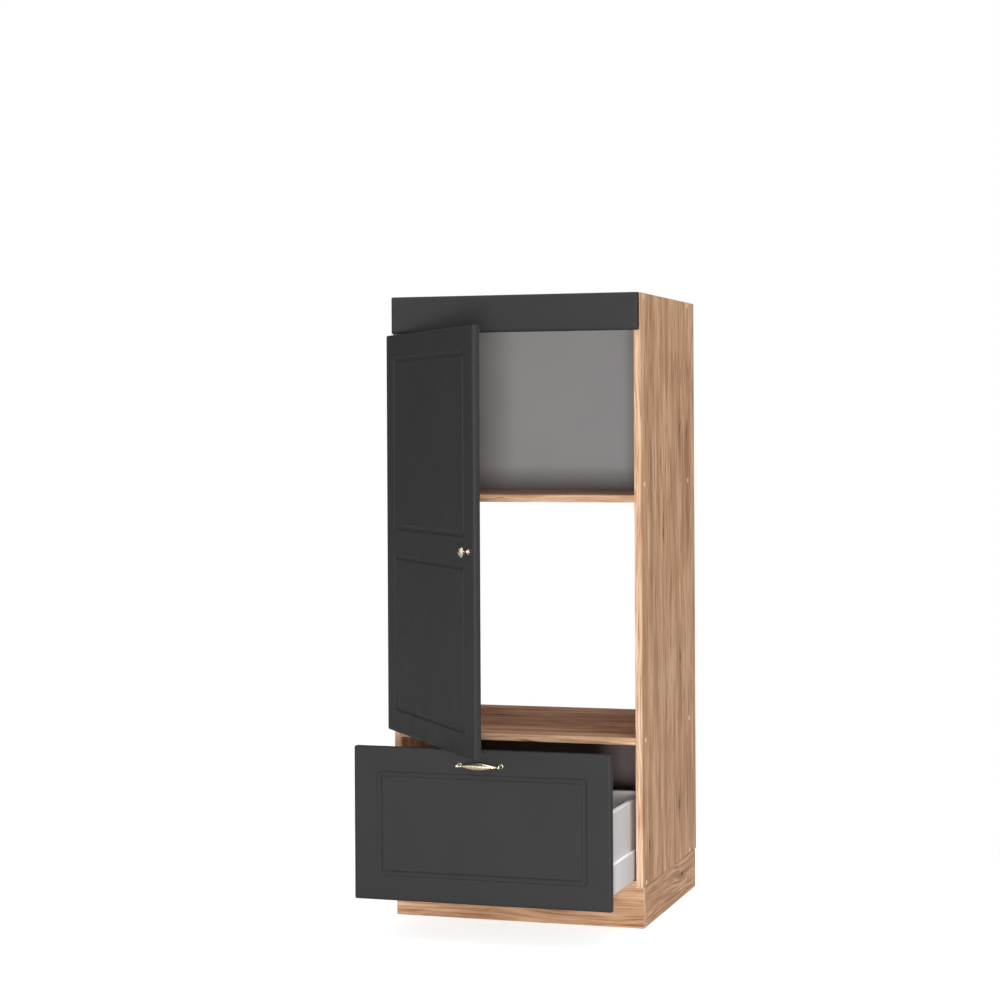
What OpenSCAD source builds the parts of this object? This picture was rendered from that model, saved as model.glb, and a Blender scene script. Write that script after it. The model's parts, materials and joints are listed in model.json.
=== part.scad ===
// Microwave cabinet: a half-height tall cabinet on a plinth, with a framed door in front of an
// open niche and a closed compartment, a fixed fascia above it and a deep drawer below it.
// Millimetres. +Z is up, +Y runs to the back, +X to the right as seen from the front.
// The origin lies on the floor, in the middle of the plinth's front face.

/* [Cabinet] */
// Width over the side boards
cabinet_w = 600; // [450:1:800]
// Height from the floor to the top
cabinet_h = 1454; // [1200:1:1900]
// Depth of the carcass without its fronts
carcass_d = 548; // [450:1:700]
// Thickness of the carcass and plinth boards
board_t = 16; // [13:0.1:22]
// Height from the floor to the underside of the carcass
plinth_h = 94; // [70:1:150]
// Distance of the plinth's front face behind the carcass's front edge
plinth_setback = 10; // [5:1:40]
// Distance of the plinth's rear end before the carcass's rear edge
plinth_rear_setback = 10; // [5:1:40]
// Shadow line between the plinth boards and the carcass
plinth_shadow = 1; // [0.5:0.1:3]
// Clear height of the drawer's compartment
drawer_bay_h = 310; // [250:1:400]
// Clear height of the open niche
niche_h = 538; // [350:1:600]
// Thickness of the back panels
back_t = 8; // [3:0.5:10]
// Distance of the back panels before the carcass's rear edge
back_inset = 20; // [10:1:40]
// Depth of the grooves that hold the back panels
groove_in_board = 7; // [5:0.5:9]

/* [Fronts] */
// Thickness of the door, the drawer front and the fascia
front_t = 16; // [15:0.5:22]
// Gap between the fronts and the carcass
front_gap = 2; // [1.5:0.1:3]
// Distance of the fronts' edges inside the carcass's outer faces
front_inset = 2; // [1:0.5:4]
// Height of the fixed fascia
fascia_h = 86; // [60:1:150]
// Joint between the fascia and the door
fascia_joint = 4; // [2:0.5:6]
// Joint between the door and the drawer front
door_joint = 5; // [3:0.5:8]
// Distance of the drawer front's top below the top of the niche floor
drawer_front_drop = 2; // [0:0.5:6]
// Distance that the drawer front reaches below the carcass
drawer_front_lap = 3; // [0:0.5:10]
// Width of a front's plain border at its sides
stile_w = 54; // [40:1:80]
// Width of the door's plain border at its top and bottom
door_rail_w = 51; // [40:1:80]
// Width of the door's middle rail
midrail_w = 56; // [40:1:90]
// Height of the middle rail's centre above the door's lower edge
midrail_rise = 443; // [300:1:600]
// Width of the routed groove round each field
field_groove_w = 14; // [6:1:20]
// Depth of the routed groove
field_groove_d = 3; // [1:0.5:5]
// Bevel along the fronts' outer edges
front_bevel = 1.5; // [0.5:0.5:3]

/* [Door and hinges] */
// Angle at which the door stands open
door_angle = 52; // [0:1:110]
// Distance of the outer hinges from the door's upper and lower edges
hinge_inset = 100; // [80:1:200]
// Radius of the hinge cup
cup_r = 17.5; // [13:0.5:20]
// Depth of the hinge cup
cup_d = 12; // [10:0.5:13]
// Distance of the cup's centre from the cabinet's outer face
cup_offset = 24.5; // [22:0.5:28]
// Radius of the hinge pins
pin_r = 1.5; // [1:0.1:2]

/* [Drawer and runners] */
// Distance by which the drawer stands open
drawer_pull = 256; // [0:1:450]
// Space between the drawer's rear end and the carcass's rear edge
drawer_back_space = 50; // [40:1:120]
// Gap between the drawer's side profile and the side board
drawer_side_gap = 4.5; // [2:0.5:8]
// Width of the drawer's side profile
profile_w = 21; // [18:0.5:30]
// Sheet thickness of the side profiles, brackets and runners
sheet_t = 1.5; // [1:0.1:2]
// Height of the side profile above the drawer's floor
profile_rise = 25; // [20:1:60]
// Thickness of the upper side panels
drawer_panel_t = 13; // [10:0.5:16]
// Height of the upper side panels' top above the drawer's floor
drawer_side_rise = 137; // [80:1:180]
// Height of the drawer's back above its floor
drawer_back_rise = 126; // [80:1:180]
// Thickness of the drawer's floor and back
drawer_board_t = 16; // [12:0.5:19]
// Width of a runner member
runner_w = 34; // [28:1:40]
// Height of the cabinet member and of the drawer member
runner_channel_h = 13; // [11:0.5:18]
// Distance of a runner's centre from the side board
runner_inset = 34; // [26:1:60]

/* [Handles] */
// Distance between the handle's screws
handle_pitch = 96; // [64:32:160]
// Distance of the handle below the drawer front's top
handle_drop = 34; // [20:1:80]
// Distance of the handle's grip axis from the drawer front
handle_reach = 19; // [16:1:30]
// Distance of the knob from the door's free edge
knob_inset = 28; // [20:1:60]
// Radius of the knob's head
knob_r = 12; // [10:1:20]

/* [Fixings] */
// Distance of the front cover caps from the carcass's front edge
fixing_front = 33; // [25:1:60]
// Distance of the rear cover caps from the carcass's rear edge
fixing_rear = 72; // [40:1:120]
// Height of the holes for joining neighbouring cabinets above the upper shelf
joining_rise = 25; // [15:1:40]
// Radius of the joining holes
joining_r = 2.5; // [2:0.5:4]
// Radius of the cover caps
cap_r = 6; // [5:0.5:7.5]
// Distance of the wall fixing holes from the cabinet's centre
wall_hole_x = 200; // [120:1:260]
// Radius of the wall fixing holes
wall_hole_r = 3; // [2:0.5:5]

/* [Hidden] */
$fn = 48;

// Colours
oak = [0.68, 0.53, 0.42];
oak_edge = [0.89, 0.76, 0.66];
anthracite = [0.26, 0.26, 0.26];
panel_grey = [0.54, 0.54, 0.54];
drawer_grey = [0.72, 0.71, 0.71];
zinc = [0.75, 0.76, 0.78];
steel = [0.62, 0.63, 0.65];
old_brass = [0.70, 0.62, 0.48];
nylon = [0.85, 0.85, 0.82];
beech = [0.85, 0.74, 0.58];

// Clearances
cut = 1;            // length by which a cutter runs past a face
bore_clear = 0.05;  // radial clearance of a screw, dowel or cup in its bore
turn_clear = 0.05;  // radial clearance of a hinge link on its pin
press_clear = 0.02; // radial clearance of a pin in the part that holds it
slide_clear = 0.2;  // clearance between a slide block and its channel
groove_clear = 0.1; // clearance of a back panel in its groove
link_clear = 0.3;   // axial clearance between a hinge's link plates
bumper_clear = 0.2; // gap between a closed front's bumper and the carcass
tongue_clear = 0.5; // gap between a back panel's edge and the bottom of its groove
head_clear = 0.2;   // gap between a screw head and the cap over it
end_clear = 1;      // gap past the end of a long screw in its bore

// Carcass
half_w = cabinet_w / 2;
inner_half = half_w - board_t;
front_y = -plinth_setback;
rear_y = front_y + carcass_d;
carcass_h = cabinet_h - plinth_h;
bay_z = plinth_h + board_t;
niche_floor_z = bay_z + drawer_bay_h;
niche_z = niche_floor_z + board_t;
shelf_z = niche_z + niche_h;
upper_z = shelf_z + board_t;
top_z = cabinet_h - board_t;
back_y = rear_y - back_inset - back_t;
back_tongue = groove_in_board - tongue_clear;
plinth_rear_y = rear_y - plinth_rear_setback;
plinth_board_h = plinth_h - plinth_shadow;

// Fronts
front_w = cabinet_w - 2 * front_inset;
front_back_y = front_y - front_gap;
front_face_y = front_back_y - front_t;
fascia_z = cabinet_h - fascia_h;
drawer_front_z = plinth_h - drawer_front_lap;
drawer_front_top = niche_z - drawer_front_drop;
door_z = drawer_front_top + door_joint;
door_top = fascia_z - fascia_joint;
midrail_z = door_z + midrail_rise;
bumper_r = 4;
bumper_inset = 6;

// Fixings
fixing_ys = [front_y + fixing_front, rear_y - fixing_rear];
dowel_pitch = 64;
dowel_ys = [front_y + fixing_front + dowel_pitch, rear_y - fixing_rear - dowel_pitch];
screwed_mids = [plinth_h + board_t / 2, niche_floor_z + board_t / 2, top_z + board_t / 2];
dowelled_mids = concat(screwed_mids, [shelf_z + board_t / 2]);
cap_t = 0.6;
head_r = 5;
head_t = 2.5;
head_recess = cap_t + head_clear + head_t;
screw_neck_r = 3.4;
screw_thread_r = 2.5;
screw_thread_l = 34;
dowel_r = 4;
dowel_in_side = 9;
dowel_in_panel = 21;
dowel_end_clear = 0.3;
small_r = 1.6;
small_l = 13;
small_head_r = 3;
small_head_t = 1.5;
euro_r = 2.5;
euro_l = 13;
euro_head_r = 4.5;
euro_head_t = 2;
cam_r = 7.5;
cam_h = 12;
cam_in = 24;
cam_slot_r = 3.2;
cam_bolt_r = 3;
cam_bolt_end = 2;
cam_thread_r = 2.5;
cam_thread_l = 10;
bracket_t = 2;
top_bracket_w = 30;
top_bracket_leg = 40;
fascia_bracket_x = 180;
fascia_screw_drop = 25;
top_screw_in = 22;
wall_hole_drop = 24;

// Plinth
block_w = 40;
plinth_screw_r = 2;
plinth_screw_l = 50;
plinth_screw_head_r = 4;
plinth_screw_head_t = 2;
head_access = 1;
block_up_at = 14;   // distance of a block's upright screw from its two outer faces
block_side_at = 30; // distance of its level screws from the corner
block_recess_h = 58;
block_screw_zs = [30, 62];

// Hinge, in its own frame: the origin is the corner that the door turns about, +X runs inward
// along the carcass's front edge and +Y to the back. The two links are opposite sides of a
// parallelogram, so the outer one keeps its direction and the inner one turns with the door.
hinge_zs = [door_z + hinge_inset, (door_z + door_top) / 2, door_top - hinge_inset];
arm_pivot = [38, 11.5];
cup_pivot = [19.9, -9.5];
elbow = arm_pivot + cup_pivot;
link_route = [[0, 0], [13.5, 5.5], [17.5, 10.8], [24, 12.3], arm_pivot];
link_r = 2.5;
inner_link_r = 2.8;
outer_link_z = 4;
inner_plate_z = outer_link_z + link_clear;
inner_plate_t = 2;
arm_wall_z = inner_plate_z + inner_plate_t + link_clear;
arm_t = 1.5;
arm_nose_r = 4.2;
arm_top_x = arm_pivot[0] + arm_nose_r;
arm_web_y = 16;
arm_rear_y = 72;
arm_low_x = board_t + 10;
arm_step_y = 26;
arm_screw_y = 52;
arm_screw_r = 1.8;
arm_screw_l = 12;
arm_screw_head_r = 3.5;
arm_screw_head_t = 1.8;
arm_side_clear = 0.2;
block_y = 28;
block_end_y = 64;
block_z = arm_wall_z - arm_side_clear;
wing_y = 37;
wing_w = 20;
wing_t = 2.5;
wing_half = 24;
wing_screw_z = 16;
cup_wall = 1;
flange_t = 1;
flange_lip = 2.5;
ear_half_w = 7;
ear_reach = 11.5;
cup_screw_out = 6.5;
flange_r = cup_r + flange_lip;
ear_half_l = cup_r + ear_reach;
cup_screw_z = cup_r + cup_screw_out;
cup_screw_l = 11;
lug_half_w = 3;
lug_rise = 2.7;
lug_z = 4.6;
lug_t = 2;
door_turn = concat(
    [cup_pivot[0] * cos(door_angle) + cup_pivot[1] * sin(door_angle)],
    [cup_pivot[1] * cos(door_angle) - cup_pivot[0] * sin(door_angle)]);

// Drawer, as it stands closed
drawer_y = front_back_y;
drawer_len = carcass_d - drawer_back_space + front_gap;
drawer_rear_y = drawer_y + drawer_len;
profile_x = inner_half - drawer_side_gap;
profile_in_x = profile_x - profile_w;
runner_gap = 1;
drawer_bottom_z = bay_z + 2 * runner_channel_h + runner_gap;
drawer_floor_z = drawer_bottom_z + drawer_board_t;
profile_top_z = drawer_floor_z + profile_rise;
drawer_side_top_z = drawer_floor_z + drawer_side_rise;
skirt_clear = 2;
profile_screw_in = 7.5;
profile_screw_x = profile_x - profile_screw_in;
profile_screw_over = 2;
profile_screw_l = drawer_board_t + profile_screw_over;
back_screw_l = 30;
drawer_bracket_w = 20;
drawer_bracket_rise = 4;
drawer_bracket_z = drawer_floor_z + drawer_bracket_rise;
drawer_bracket_top_z = drawer_floor_z + drawer_back_rise;
bracket_screw_in = 10;
bracket_screw_rises = [27, 100];
bracket_side_rise = 70;
bracket_screw_zs = [for (rise = bracket_screw_rises) drawer_floor_z + rise];
bracket_side_z = drawer_floor_z + bracket_side_rise;
back_bracket_in = 26;

// Runners, as they stand closed
runner_x = inner_half - runner_inset;
runner_front = 3;
runner_rear_cut = 5;
runner_y = front_y + runner_front;
runner_len = carcass_d - drawer_back_space - runner_front - runner_rear_cut;
runner_lip = 3;
middle_half = 12;
middle_web_t = 2;
block_inner_x = 9;
block_l = 20;
runner_screw_ends = 40;

// Handle and knob
handle_z = drawer_front_top - handle_drop;
knob_x = half_w - front_inset - knob_inset;
rosette_t = 2;
rosette_edge_w = 1.2;
rosette_edge_t = 0.8;
handle_rosette_r = 5.5;
knob_rosette_r = 7;
post_r = 3.5;
post_end_r = 4.5;
grip_half = handle_pitch / 2;
grip_neck_l = 11;
spindle_half = grip_half - grip_neck_l;
spindle_r = 8.7;
spindle_end_r = 2.2;
spindle_power = 1.4;
collar_r = 3.4;
collar_from = 1.5;
collar_to = 3.5;
collar_end = 5;
knob_foot_r = 5;
knob_neck_r = 3.5;
knob_neck_z = 8;
knob_shoulder_z = 11;
knob_lip = 1;
knob_rim_z = 18;
knob_dome_h = 6.5;
handle_screw_r = 2;
handle_screw_head_r = 4;
handle_screw_head_t = 1.8;
handle_screw_depth = 12;

// Shapes that repeat

module both_sides() {
    children();
    mirror([1, 0, 0]) children();
}

module along_x() {
    rotate([0, 90, 0]) children();
}

module along_y() {
    rotate([-90, 0, 0]) children();
}

module toward_front() {
    rotate([90, 0, 0]) children();
}

module toward_floor() {
    rotate([180, 0, 0]) children();
}

// A screw whose head sits below z = 0 and whose shank runs up from there
module screw(shank_r, shank_l, top_r, top_t) {
    translate([0, 0, -top_t]) cylinder(r = top_r, h = top_t);
    cylinder(r = shank_r, h = shank_l);
}

module screw_bore(shank_r, shank_l) {
    translate([0, 0, -cut]) cylinder(r = shank_r + bore_clear, h = shank_l + cut + bore_clear);
}

module small_screw(l = small_l) {
    screw(small_r, l, small_head_r, small_head_t);
}

module small_bore(l = small_l) {
    screw_bore(small_r, l);
}

// Places

module cam_places() {
    both_sides() for (y = fixing_ys) translate([inner_half, y, shelf_z + board_t / 2]) children();
}

module joining_places() {
    both_sides() for (y = fixing_ys) translate([half_w, y, upper_z + joining_rise]) children();
}

module fascia_bracket_places() {
    for (s = [-1, 1]) translate([s * fascia_bracket_x, front_y, top_z]) children();
}

module wall_bracket_places() {
    for (s = [-1, 1]) translate([s * wall_hole_x, back_y, top_z]) children();
}

module connecting_places() {
    both_sides() for (y = fixing_ys, z = screwed_mids) translate([half_w, y, z]) children();
}

module dowel_places() {
    both_sides() for (y = dowel_ys, z = dowelled_mids) translate([inner_half, y, z]) children();
}

module hinge_places() {
    for (z = hinge_zs) translate([-half_w, front_y, z]) children();
}

// Turns a part of the closed door to where the door stands
module door_pose() {
    translate([-half_w, front_y, 0]) rotate([0, 0, -door_angle])
        translate([half_w, -front_y, 0]) children();
}

// Moves a part of the closed drawer to where the drawer stands
module drawer_pose() {
    translate([0, -drawer_pull, 0]) children();
}

module middle_pose() {
    translate([0, -drawer_pull / 2, 0]) children();
}

// Cutters for the carcass

module back_cutter(z0, z1) {
    translate([-inner_half - groove_in_board, back_y - groove_clear, z0 - groove_in_board])
        cube([2 * (inner_half + groove_in_board), back_t + 2 * groove_clear,
            z1 - z0 + 2 * groove_in_board]);
}

module cap_places() {
    connecting_places() children();
    joining_places() children();
}

module connecting_cutter() {
    translate([-head_recess, 0, 0]) along_x() cylinder(r = head_r + bore_clear, h = head_recess + cut);
    translate([-board_t, 0, 0]) along_x() cylinder(r = screw_neck_r + bore_clear, h = board_t);
    translate([-board_t - screw_thread_l - end_clear, 0, 0]) along_x()
        cylinder(r = screw_thread_r + bore_clear, h = screw_thread_l + end_clear + cut);
}

module dowel_cutter() {
    translate([-dowel_in_panel - dowel_end_clear, 0, 0]) along_x()
        cylinder(r = dowel_r + bore_clear, h = dowel_in_panel + dowel_in_side + 2 * dowel_end_clear);
}

module cam_bolt(clear) {
    along_x() cylinder(r = cam_thread_r + clear, h = cam_thread_l + clear);
    translate([-cam_in - cam_bolt_end - clear, 0, 0])
        along_x() cylinder(r = cam_bolt_r + clear, h = cam_in + cam_bolt_end + clear);
}

module cam(clear) {
    translate([-cam_in, 0, -board_t / 2 - (clear > 0 ? cut : 0)])
        cylinder(r = cam_r + clear, h = cam_h + clear + (clear > 0 ? cut : 0));
}

module top_screw_place(y) {
    translate([0, y, -bracket_t]) children();
}

module fascia_screw_place() {
    translate([0, 0, -fascia_screw_drop]) toward_front() children();
}

module plate_screw_places() {
    for (s = [-1, 1]) translate([board_t + wing_t, wing_y, s * wing_screw_z])
        rotate([0, -90, 0]) children();
}

module runner_screw_places() {
    both_sides() for (y = [runner_y + runner_screw_ends, runner_y + runner_len / 2,
        runner_y + runner_len - runner_screw_ends]) translate([runner_x, y, 0]) children();
}

module plinth_block_places() {
    for (s = [-1, 1]) translate([s * inner_half, board_t, 0]) scale_to(s, 1) children();
    for (s = [-1, 1]) translate([s * inner_half, plinth_rear_y - board_t, 0])
        scale_to(s, -1) children();
}

// Flips a part that is drawn toward -X and +Y
module scale_to(sx, sy) {
    mirror([sx > 0 ? 0 : 1, 0, 0]) mirror([0, sy > 0 ? 0 : 1, 0]) children();
}

module block_screw_x() {
    translate([-block_w, block_side_at, block_screw_zs[0]]) along_x() children();
}

module block_screw_y() {
    translate([-block_side_at, block_w, block_screw_zs[1]]) toward_front() children();
}

module block_screw_up() {
    translate([-block_up_at, block_up_at, block_recess_h]) children();
}

module plinth_screw_bore() {
    screw_bore(plinth_screw_r, plinth_screw_l);
}

// Carcass

module side_board() {
    difference() {
        translate([inner_half, front_y, plinth_h]) cube([board_t, carcass_d, carcass_h]);
        back_cutter(upper_z, top_z);
        back_cutter(bay_z, niche_floor_z);
        connecting_places() connecting_cutter();
        dowel_places() dowel_cutter();
        cam_places() cam_bolt(bore_clear);
        joining_places() translate([-board_t - cut, 0, 0])
            along_x() cylinder(r = joining_r, h = board_t + 2 * cut);
        cap_places() translate([-cap_t, 0, 0])
            along_x() cylinder(r = cap_r + bore_clear, h = cap_t + cut);
    }
}

module side_left() {
    color(oak) difference() {
        mirror([1, 0, 0]) side_board();
        hinge_places() plate_screw_places() screw_bore(euro_r, euro_l);
    }
}

module side_right() {
    color(oak) side_board();
}

module flat_panel(z) {
    difference() {
        translate([-inner_half, front_y, z]) cube([2 * inner_half, carcass_d, board_t]);
        dowel_places() dowel_cutter();
        children();
    }
}

module top_panel() {
    color(oak) flat_panel(top_z) {
        connecting_places() connecting_cutter();
        back_cutter(upper_z, top_z);
        fascia_bracket_places() top_screw_place(top_screw_in) small_bore();
        wall_bracket_places() top_screw_place(-top_screw_in) small_bore();
    }
}

module upper_shelf() {
    color(oak) flat_panel(shelf_z) {
        back_cutter(upper_z, top_z);
        cam_places() cam_bolt(bore_clear);
        cam_places() cam(bore_clear);
    }
}

module niche_floor() {
    color(oak) flat_panel(niche_floor_z) {
        connecting_places() connecting_cutter();
        back_cutter(bay_z, niche_floor_z);
    }
}

module bottom_panel() {
    color(oak) flat_panel(plinth_h) {
        connecting_places() connecting_cutter();
        back_cutter(bay_z, niche_floor_z);
        runner_screw_places() translate([0, 0, bay_z + sheet_t]) toward_floor()
            screw_bore(euro_r, euro_l);
        plinth_block_places() block_screw_up() plinth_screw_bore();
    }
}

module back_panel(z0, z1) {
    translate([-inner_half - back_tongue, back_y, z0 - back_tongue])
        cube([2 * (inner_half + back_tongue), back_t, z1 - z0 + 2 * back_tongue]);
}

module back_upper() {
    color(panel_grey) difference() {
        back_panel(upper_z, top_z);
        wall_bracket_places() wall_hole();
    }
}

module back_lower() {
    color(panel_grey) back_panel(bay_z, niche_floor_z);
}

// Fascia and the steel angles

module front_blank(z, h) {
    difference() {
        translate([-front_w / 2, front_face_y, z]) cube([front_w, front_t, h]);
        translate([0, front_face_y, z]) edge_bevels(h);
    }
}

// Wedges that take the sharp edge off a front's face, all round
module edge_bevels(h) {
    wedge = [[-cut, -cut], [front_bevel, -cut], [front_bevel, 0], [0, front_bevel], [-cut, front_bevel]];
    for (s = [-1, 1]) scale_to(-s, 1) translate([-front_w / 2, 0, -cut])
        linear_extrude(h + 2 * cut) polygon(wedge);
    translate([-front_w / 2 - cut, 0, 0]) rotate([90, 0, 90])
        linear_extrude(front_w + 2 * cut) polygon(wedge);
    translate([-front_w / 2 - cut, 0, h]) mirror([0, 0, 1]) rotate([90, 0, 90])
        linear_extrude(front_w + 2 * cut) polygon(wedge);
}

// The routed groove round a front's field
module field_groove(z0, z1) {
    field_w = front_w - 2 * stile_w;
    field_h = z1 - z0;
    translate([-field_w / 2, front_face_y + field_groove_d, z0]) toward_front()
        linear_extrude(field_groove_d + cut) difference() {
            square([field_w, field_h]);
            translate([field_groove_w, field_groove_w])
                square([field_w - 2 * field_groove_w, field_h - 2 * field_groove_w]);
        }
}

module bumper(x, z) {
    translate([x, front_back_y, z]) along_y() cylinder(r = bumper_r, h = front_gap - bumper_clear);
}

module fascia() {
    color(anthracite) difference() {
        front_blank(fascia_z, fascia_h);
        fascia_bracket_places() fascia_screw_place() small_bore();
    }
}

module fascia_pads() {
    color(nylon) both_sides() translate([half_w - front_inset - bumper_inset, front_back_y,
        fascia_z + fascia_h / 2]) along_y() cylinder(r = bumper_r, h = front_gap);
}

module fascia_brackets() {
    color(zinc) fascia_bracket_places() difference() {
        union() {
            translate([-top_bracket_w / 2, -front_gap, -top_bracket_leg])
                cube([top_bracket_w, front_gap, top_bracket_leg]);
            translate([-top_bracket_w / 2, -front_gap, -bracket_t])
                cube([top_bracket_w, front_gap + top_bracket_leg, bracket_t]);
        }
        top_screw_place(top_screw_in) small_bore();
        fascia_screw_place() small_bore();
    }
}

module wall_hole() {
    translate([0, -bracket_t - cut, -wall_hole_drop]) along_y()
        cylinder(r = wall_hole_r, h = bracket_t + back_t + 2 * cut);
}

module wall_brackets() {
    color(zinc) wall_bracket_places() difference() {
        union() {
            translate([-top_bracket_w / 2, -bracket_t, -top_bracket_leg])
                cube([top_bracket_w, bracket_t, top_bracket_leg]);
            translate([-top_bracket_w / 2, -top_bracket_leg, -bracket_t])
                cube([top_bracket_w, top_bracket_leg, bracket_t]);
        }
        top_screw_place(-top_screw_in) small_bore();
        wall_hole();
    }
}

// Eccentric cams in the shelf's underside, which draw in the bolts from the side boards
module shelf_cams() {
    color(zinc) cam_places() difference() {
        cam(0);
        translate([-cam_in - cam_slot_r, 0, 0]) along_x()
            cylinder(r = cam_slot_r, h = cam_slot_r + cam_r + cut);
    }
}

module cam_bolts() {
    color(zinc) cam_places() cam_bolt(0);
}

module bracket_screws() {
    color(zinc) {
        fascia_bracket_places() top_screw_place(top_screw_in) small_screw();
        fascia_bracket_places() fascia_screw_place() small_screw();
        wall_bracket_places() top_screw_place(-top_screw_in) small_screw();
    }
}

module connecting_screws() {
    color(steel) connecting_places() {
        translate([-head_recess, 0, 0]) along_x() cylinder(r = head_r, h = head_t);
        translate([-board_t, 0, 0]) along_x() cylinder(r = screw_neck_r, h = board_t - head_recess);
        translate([-board_t - screw_thread_l, 0, 0])
            along_x() cylinder(r = screw_thread_r, h = screw_thread_l);
    }
}

module dowels() {
    color(beech) dowel_places() translate([-dowel_in_panel, 0, 0])
        along_x() cylinder(r = dowel_r, h = dowel_in_panel + dowel_in_side);
}

// Caps that lie flush over the screws and over the joining holes
module cover_caps() {
    color(oak_edge) cap_places() translate([-cap_t, 0, 0])
        along_x() cylinder(r = cap_r, h = cap_t);
}

// Plinth

module plinth_cuts() {
    plinth_block_places() {
        block_screw_x() plinth_screw_bore();
        block_screw_y() plinth_screw_bore();
    }
}

module plinth_front() {
    color(oak) difference() {
        translate([-half_w, 0, 0]) cube([cabinet_w, board_t, plinth_board_h]);
        plinth_cuts();
    }
}

module plinth_back() {
    color(oak) difference() {
        translate([-inner_half, plinth_rear_y - board_t, 0])
            cube([2 * inner_half, board_t, plinth_board_h]);
        plinth_cuts();
    }
}

module plinth_side() {
    difference() {
        translate([inner_half, board_t, 0]) cube([board_t, plinth_rear_y - board_t, plinth_board_h]);
        plinth_cuts();
    }
}

module plinth_left() {
    color(oak) mirror([1, 0, 0]) plinth_side();
}

module plinth_right() {
    color(oak) plinth_side();
}

// Corner blocks, which carry the carcass and join the plinth boards
module plinth_blocks() {
    color(beech) plinth_block_places() difference() {
        translate([-block_w, 0, 0]) cube([block_w, block_w, plinth_h]);
        block_screw_x() plinth_screw_bore();
        block_screw_y() plinth_screw_bore();
        block_screw_up() plinth_screw_bore();
        translate([-block_up_at, block_up_at, -cut])
            cylinder(r = plinth_screw_head_r + head_access, h = block_recess_h + cut);
    }
}

module plinth_screws() {
    color(zinc) plinth_block_places() {
        block_screw_x() plinth_screw();
        block_screw_y() plinth_screw();
        block_screw_up() plinth_screw();
    }
}

module plinth_screw() {
    screw(plinth_screw_r, plinth_screw_l, plinth_screw_head_r, plinth_screw_head_t);
}

// Hinges

module hinge_plates() {
    color(steel) hinge_places() difference() {
        union() {
            translate([board_t, wing_y - wing_w / 2, -wing_half])
                cube([wing_t, wing_w, 2 * wing_half]);
            translate([board_t, block_y, -block_z])
                cube([arm_top_x - arm_t - board_t, block_end_y - block_y, 2 * block_z]);
        }
        plate_screw_places() screw_bore(euro_r, euro_l);
        translate([arm_top_x, arm_screw_y, 0]) rotate([0, -90, 0])
            screw_bore(arm_screw_r, arm_screw_l);
    }
}

// The arm's outline, seen along the pins
module arm_outline() {
    translate(arm_pivot) circle(arm_nose_r);
    polygon([[arm_pivot[0] - arm_nose_r, arm_pivot[1]], [arm_top_x, arm_pivot[1]],
        [arm_top_x, arm_rear_y], [arm_low_x, arm_rear_y], [arm_low_x, arm_step_y]]);
}

module hinge_arms() {
    color(steel) hinge_places() difference() {
        union() {
            for (s = [-1, 1]) translate([0, 0, s > 0 ? arm_wall_z : -arm_wall_z - arm_t])
                linear_extrude(arm_t) arm_outline();
            translate([arm_top_x - arm_t, arm_web_y, -arm_wall_z - arm_t / 2])
                cube([arm_t, arm_rear_y - arm_web_y, 2 * arm_wall_z + arm_t]);
        }
        pin_bore(arm_pivot, press_clear);
        translate([arm_top_x, arm_screw_y, 0]) rotate([0, -90, 0])
            screw_bore(arm_screw_r, arm_screw_l);
    }
}

module pin_bore(at, clear) {
    reach = arm_wall_z + arm_t + cut;
    translate([at[0], at[1], -reach]) cylinder(r = pin_r + clear, h = 2 * reach);
}

module pin(at, half_l) {
    translate([at[0], at[1], -half_l]) cylinder(r = pin_r, h = 2 * half_l);
}

module hinge_arm_pins() {
    color(zinc) hinge_places() pin(arm_pivot, arm_wall_z + arm_t);
}

module hinge_arm_screws() {
    color(zinc) hinge_places() translate([arm_top_x, arm_screw_y, 0]) rotate([0, -90, 0])
        screw(arm_screw_r, arm_screw_l, arm_screw_head_r, arm_screw_head_t);
}

// A flat strip with round ends along a route
module strip(route, r) {
    last = len(route) - 1;
    translate(route[0]) circle(r);
    translate(route[last]) circle(r);
    polygon(concat([for (i = [0 : last]) strip_edge(route, i, r)],
        [for (i = [last : -1 : 0]) strip_edge(route, i, -r)]));
}

function unit(v) = v / norm(v);

// The mitred point beside point i of a route, at distance r from its line
function strip_edge(route, i, r) =
    let (last = len(route) - 1,
        before = unit(route[max(i, 1)] - route[max(i, 1) - 1]),
        after = unit(route[min(i, last - 1) + 1] - route[min(i, last - 1)]),
        across = [-before[1] - after[1], before[0] + after[0]])
    route[i] + across * 2 * r / (across * across);

module inner_link_pose() {
    hinge_places() translate(arm_pivot) rotate(-door_angle) translate(-arm_pivot) children();
}

// Forked links, which turn in the arms together with the door
module hinge_inner_links() {
    color(steel) inner_link_pose() difference() {
        for (z = [inner_plate_z, -inner_plate_z - inner_plate_t]) translate([0, 0, z])
            linear_extrude(inner_plate_t) strip([arm_pivot, elbow], inner_link_r);
        pin_bore(arm_pivot, turn_clear);
        pin_bore(elbow, press_clear);
    }
}

module hinge_elbow_pins() {
    color(zinc) inner_link_pose() pin(elbow, inner_plate_z + inner_plate_t);
}

// Cranked links, which reach from the elbow round the cup's rim into the cup
module hinge_outer_links() {
    color(steel) hinge_places() translate(door_turn) difference() {
        translate([0, 0, -outer_link_z]) linear_extrude(2 * outer_link_z) strip(link_route, link_r);
        pin_bore([0, 0], turn_clear);
        pin_bore(arm_pivot, turn_clear);
    }
}

module cup_screw_places() {
    for (s = [-1, 1]) translate([cup_offset, flange_t - front_gap, s * cup_screw_z])
        toward_front() children();
}

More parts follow.
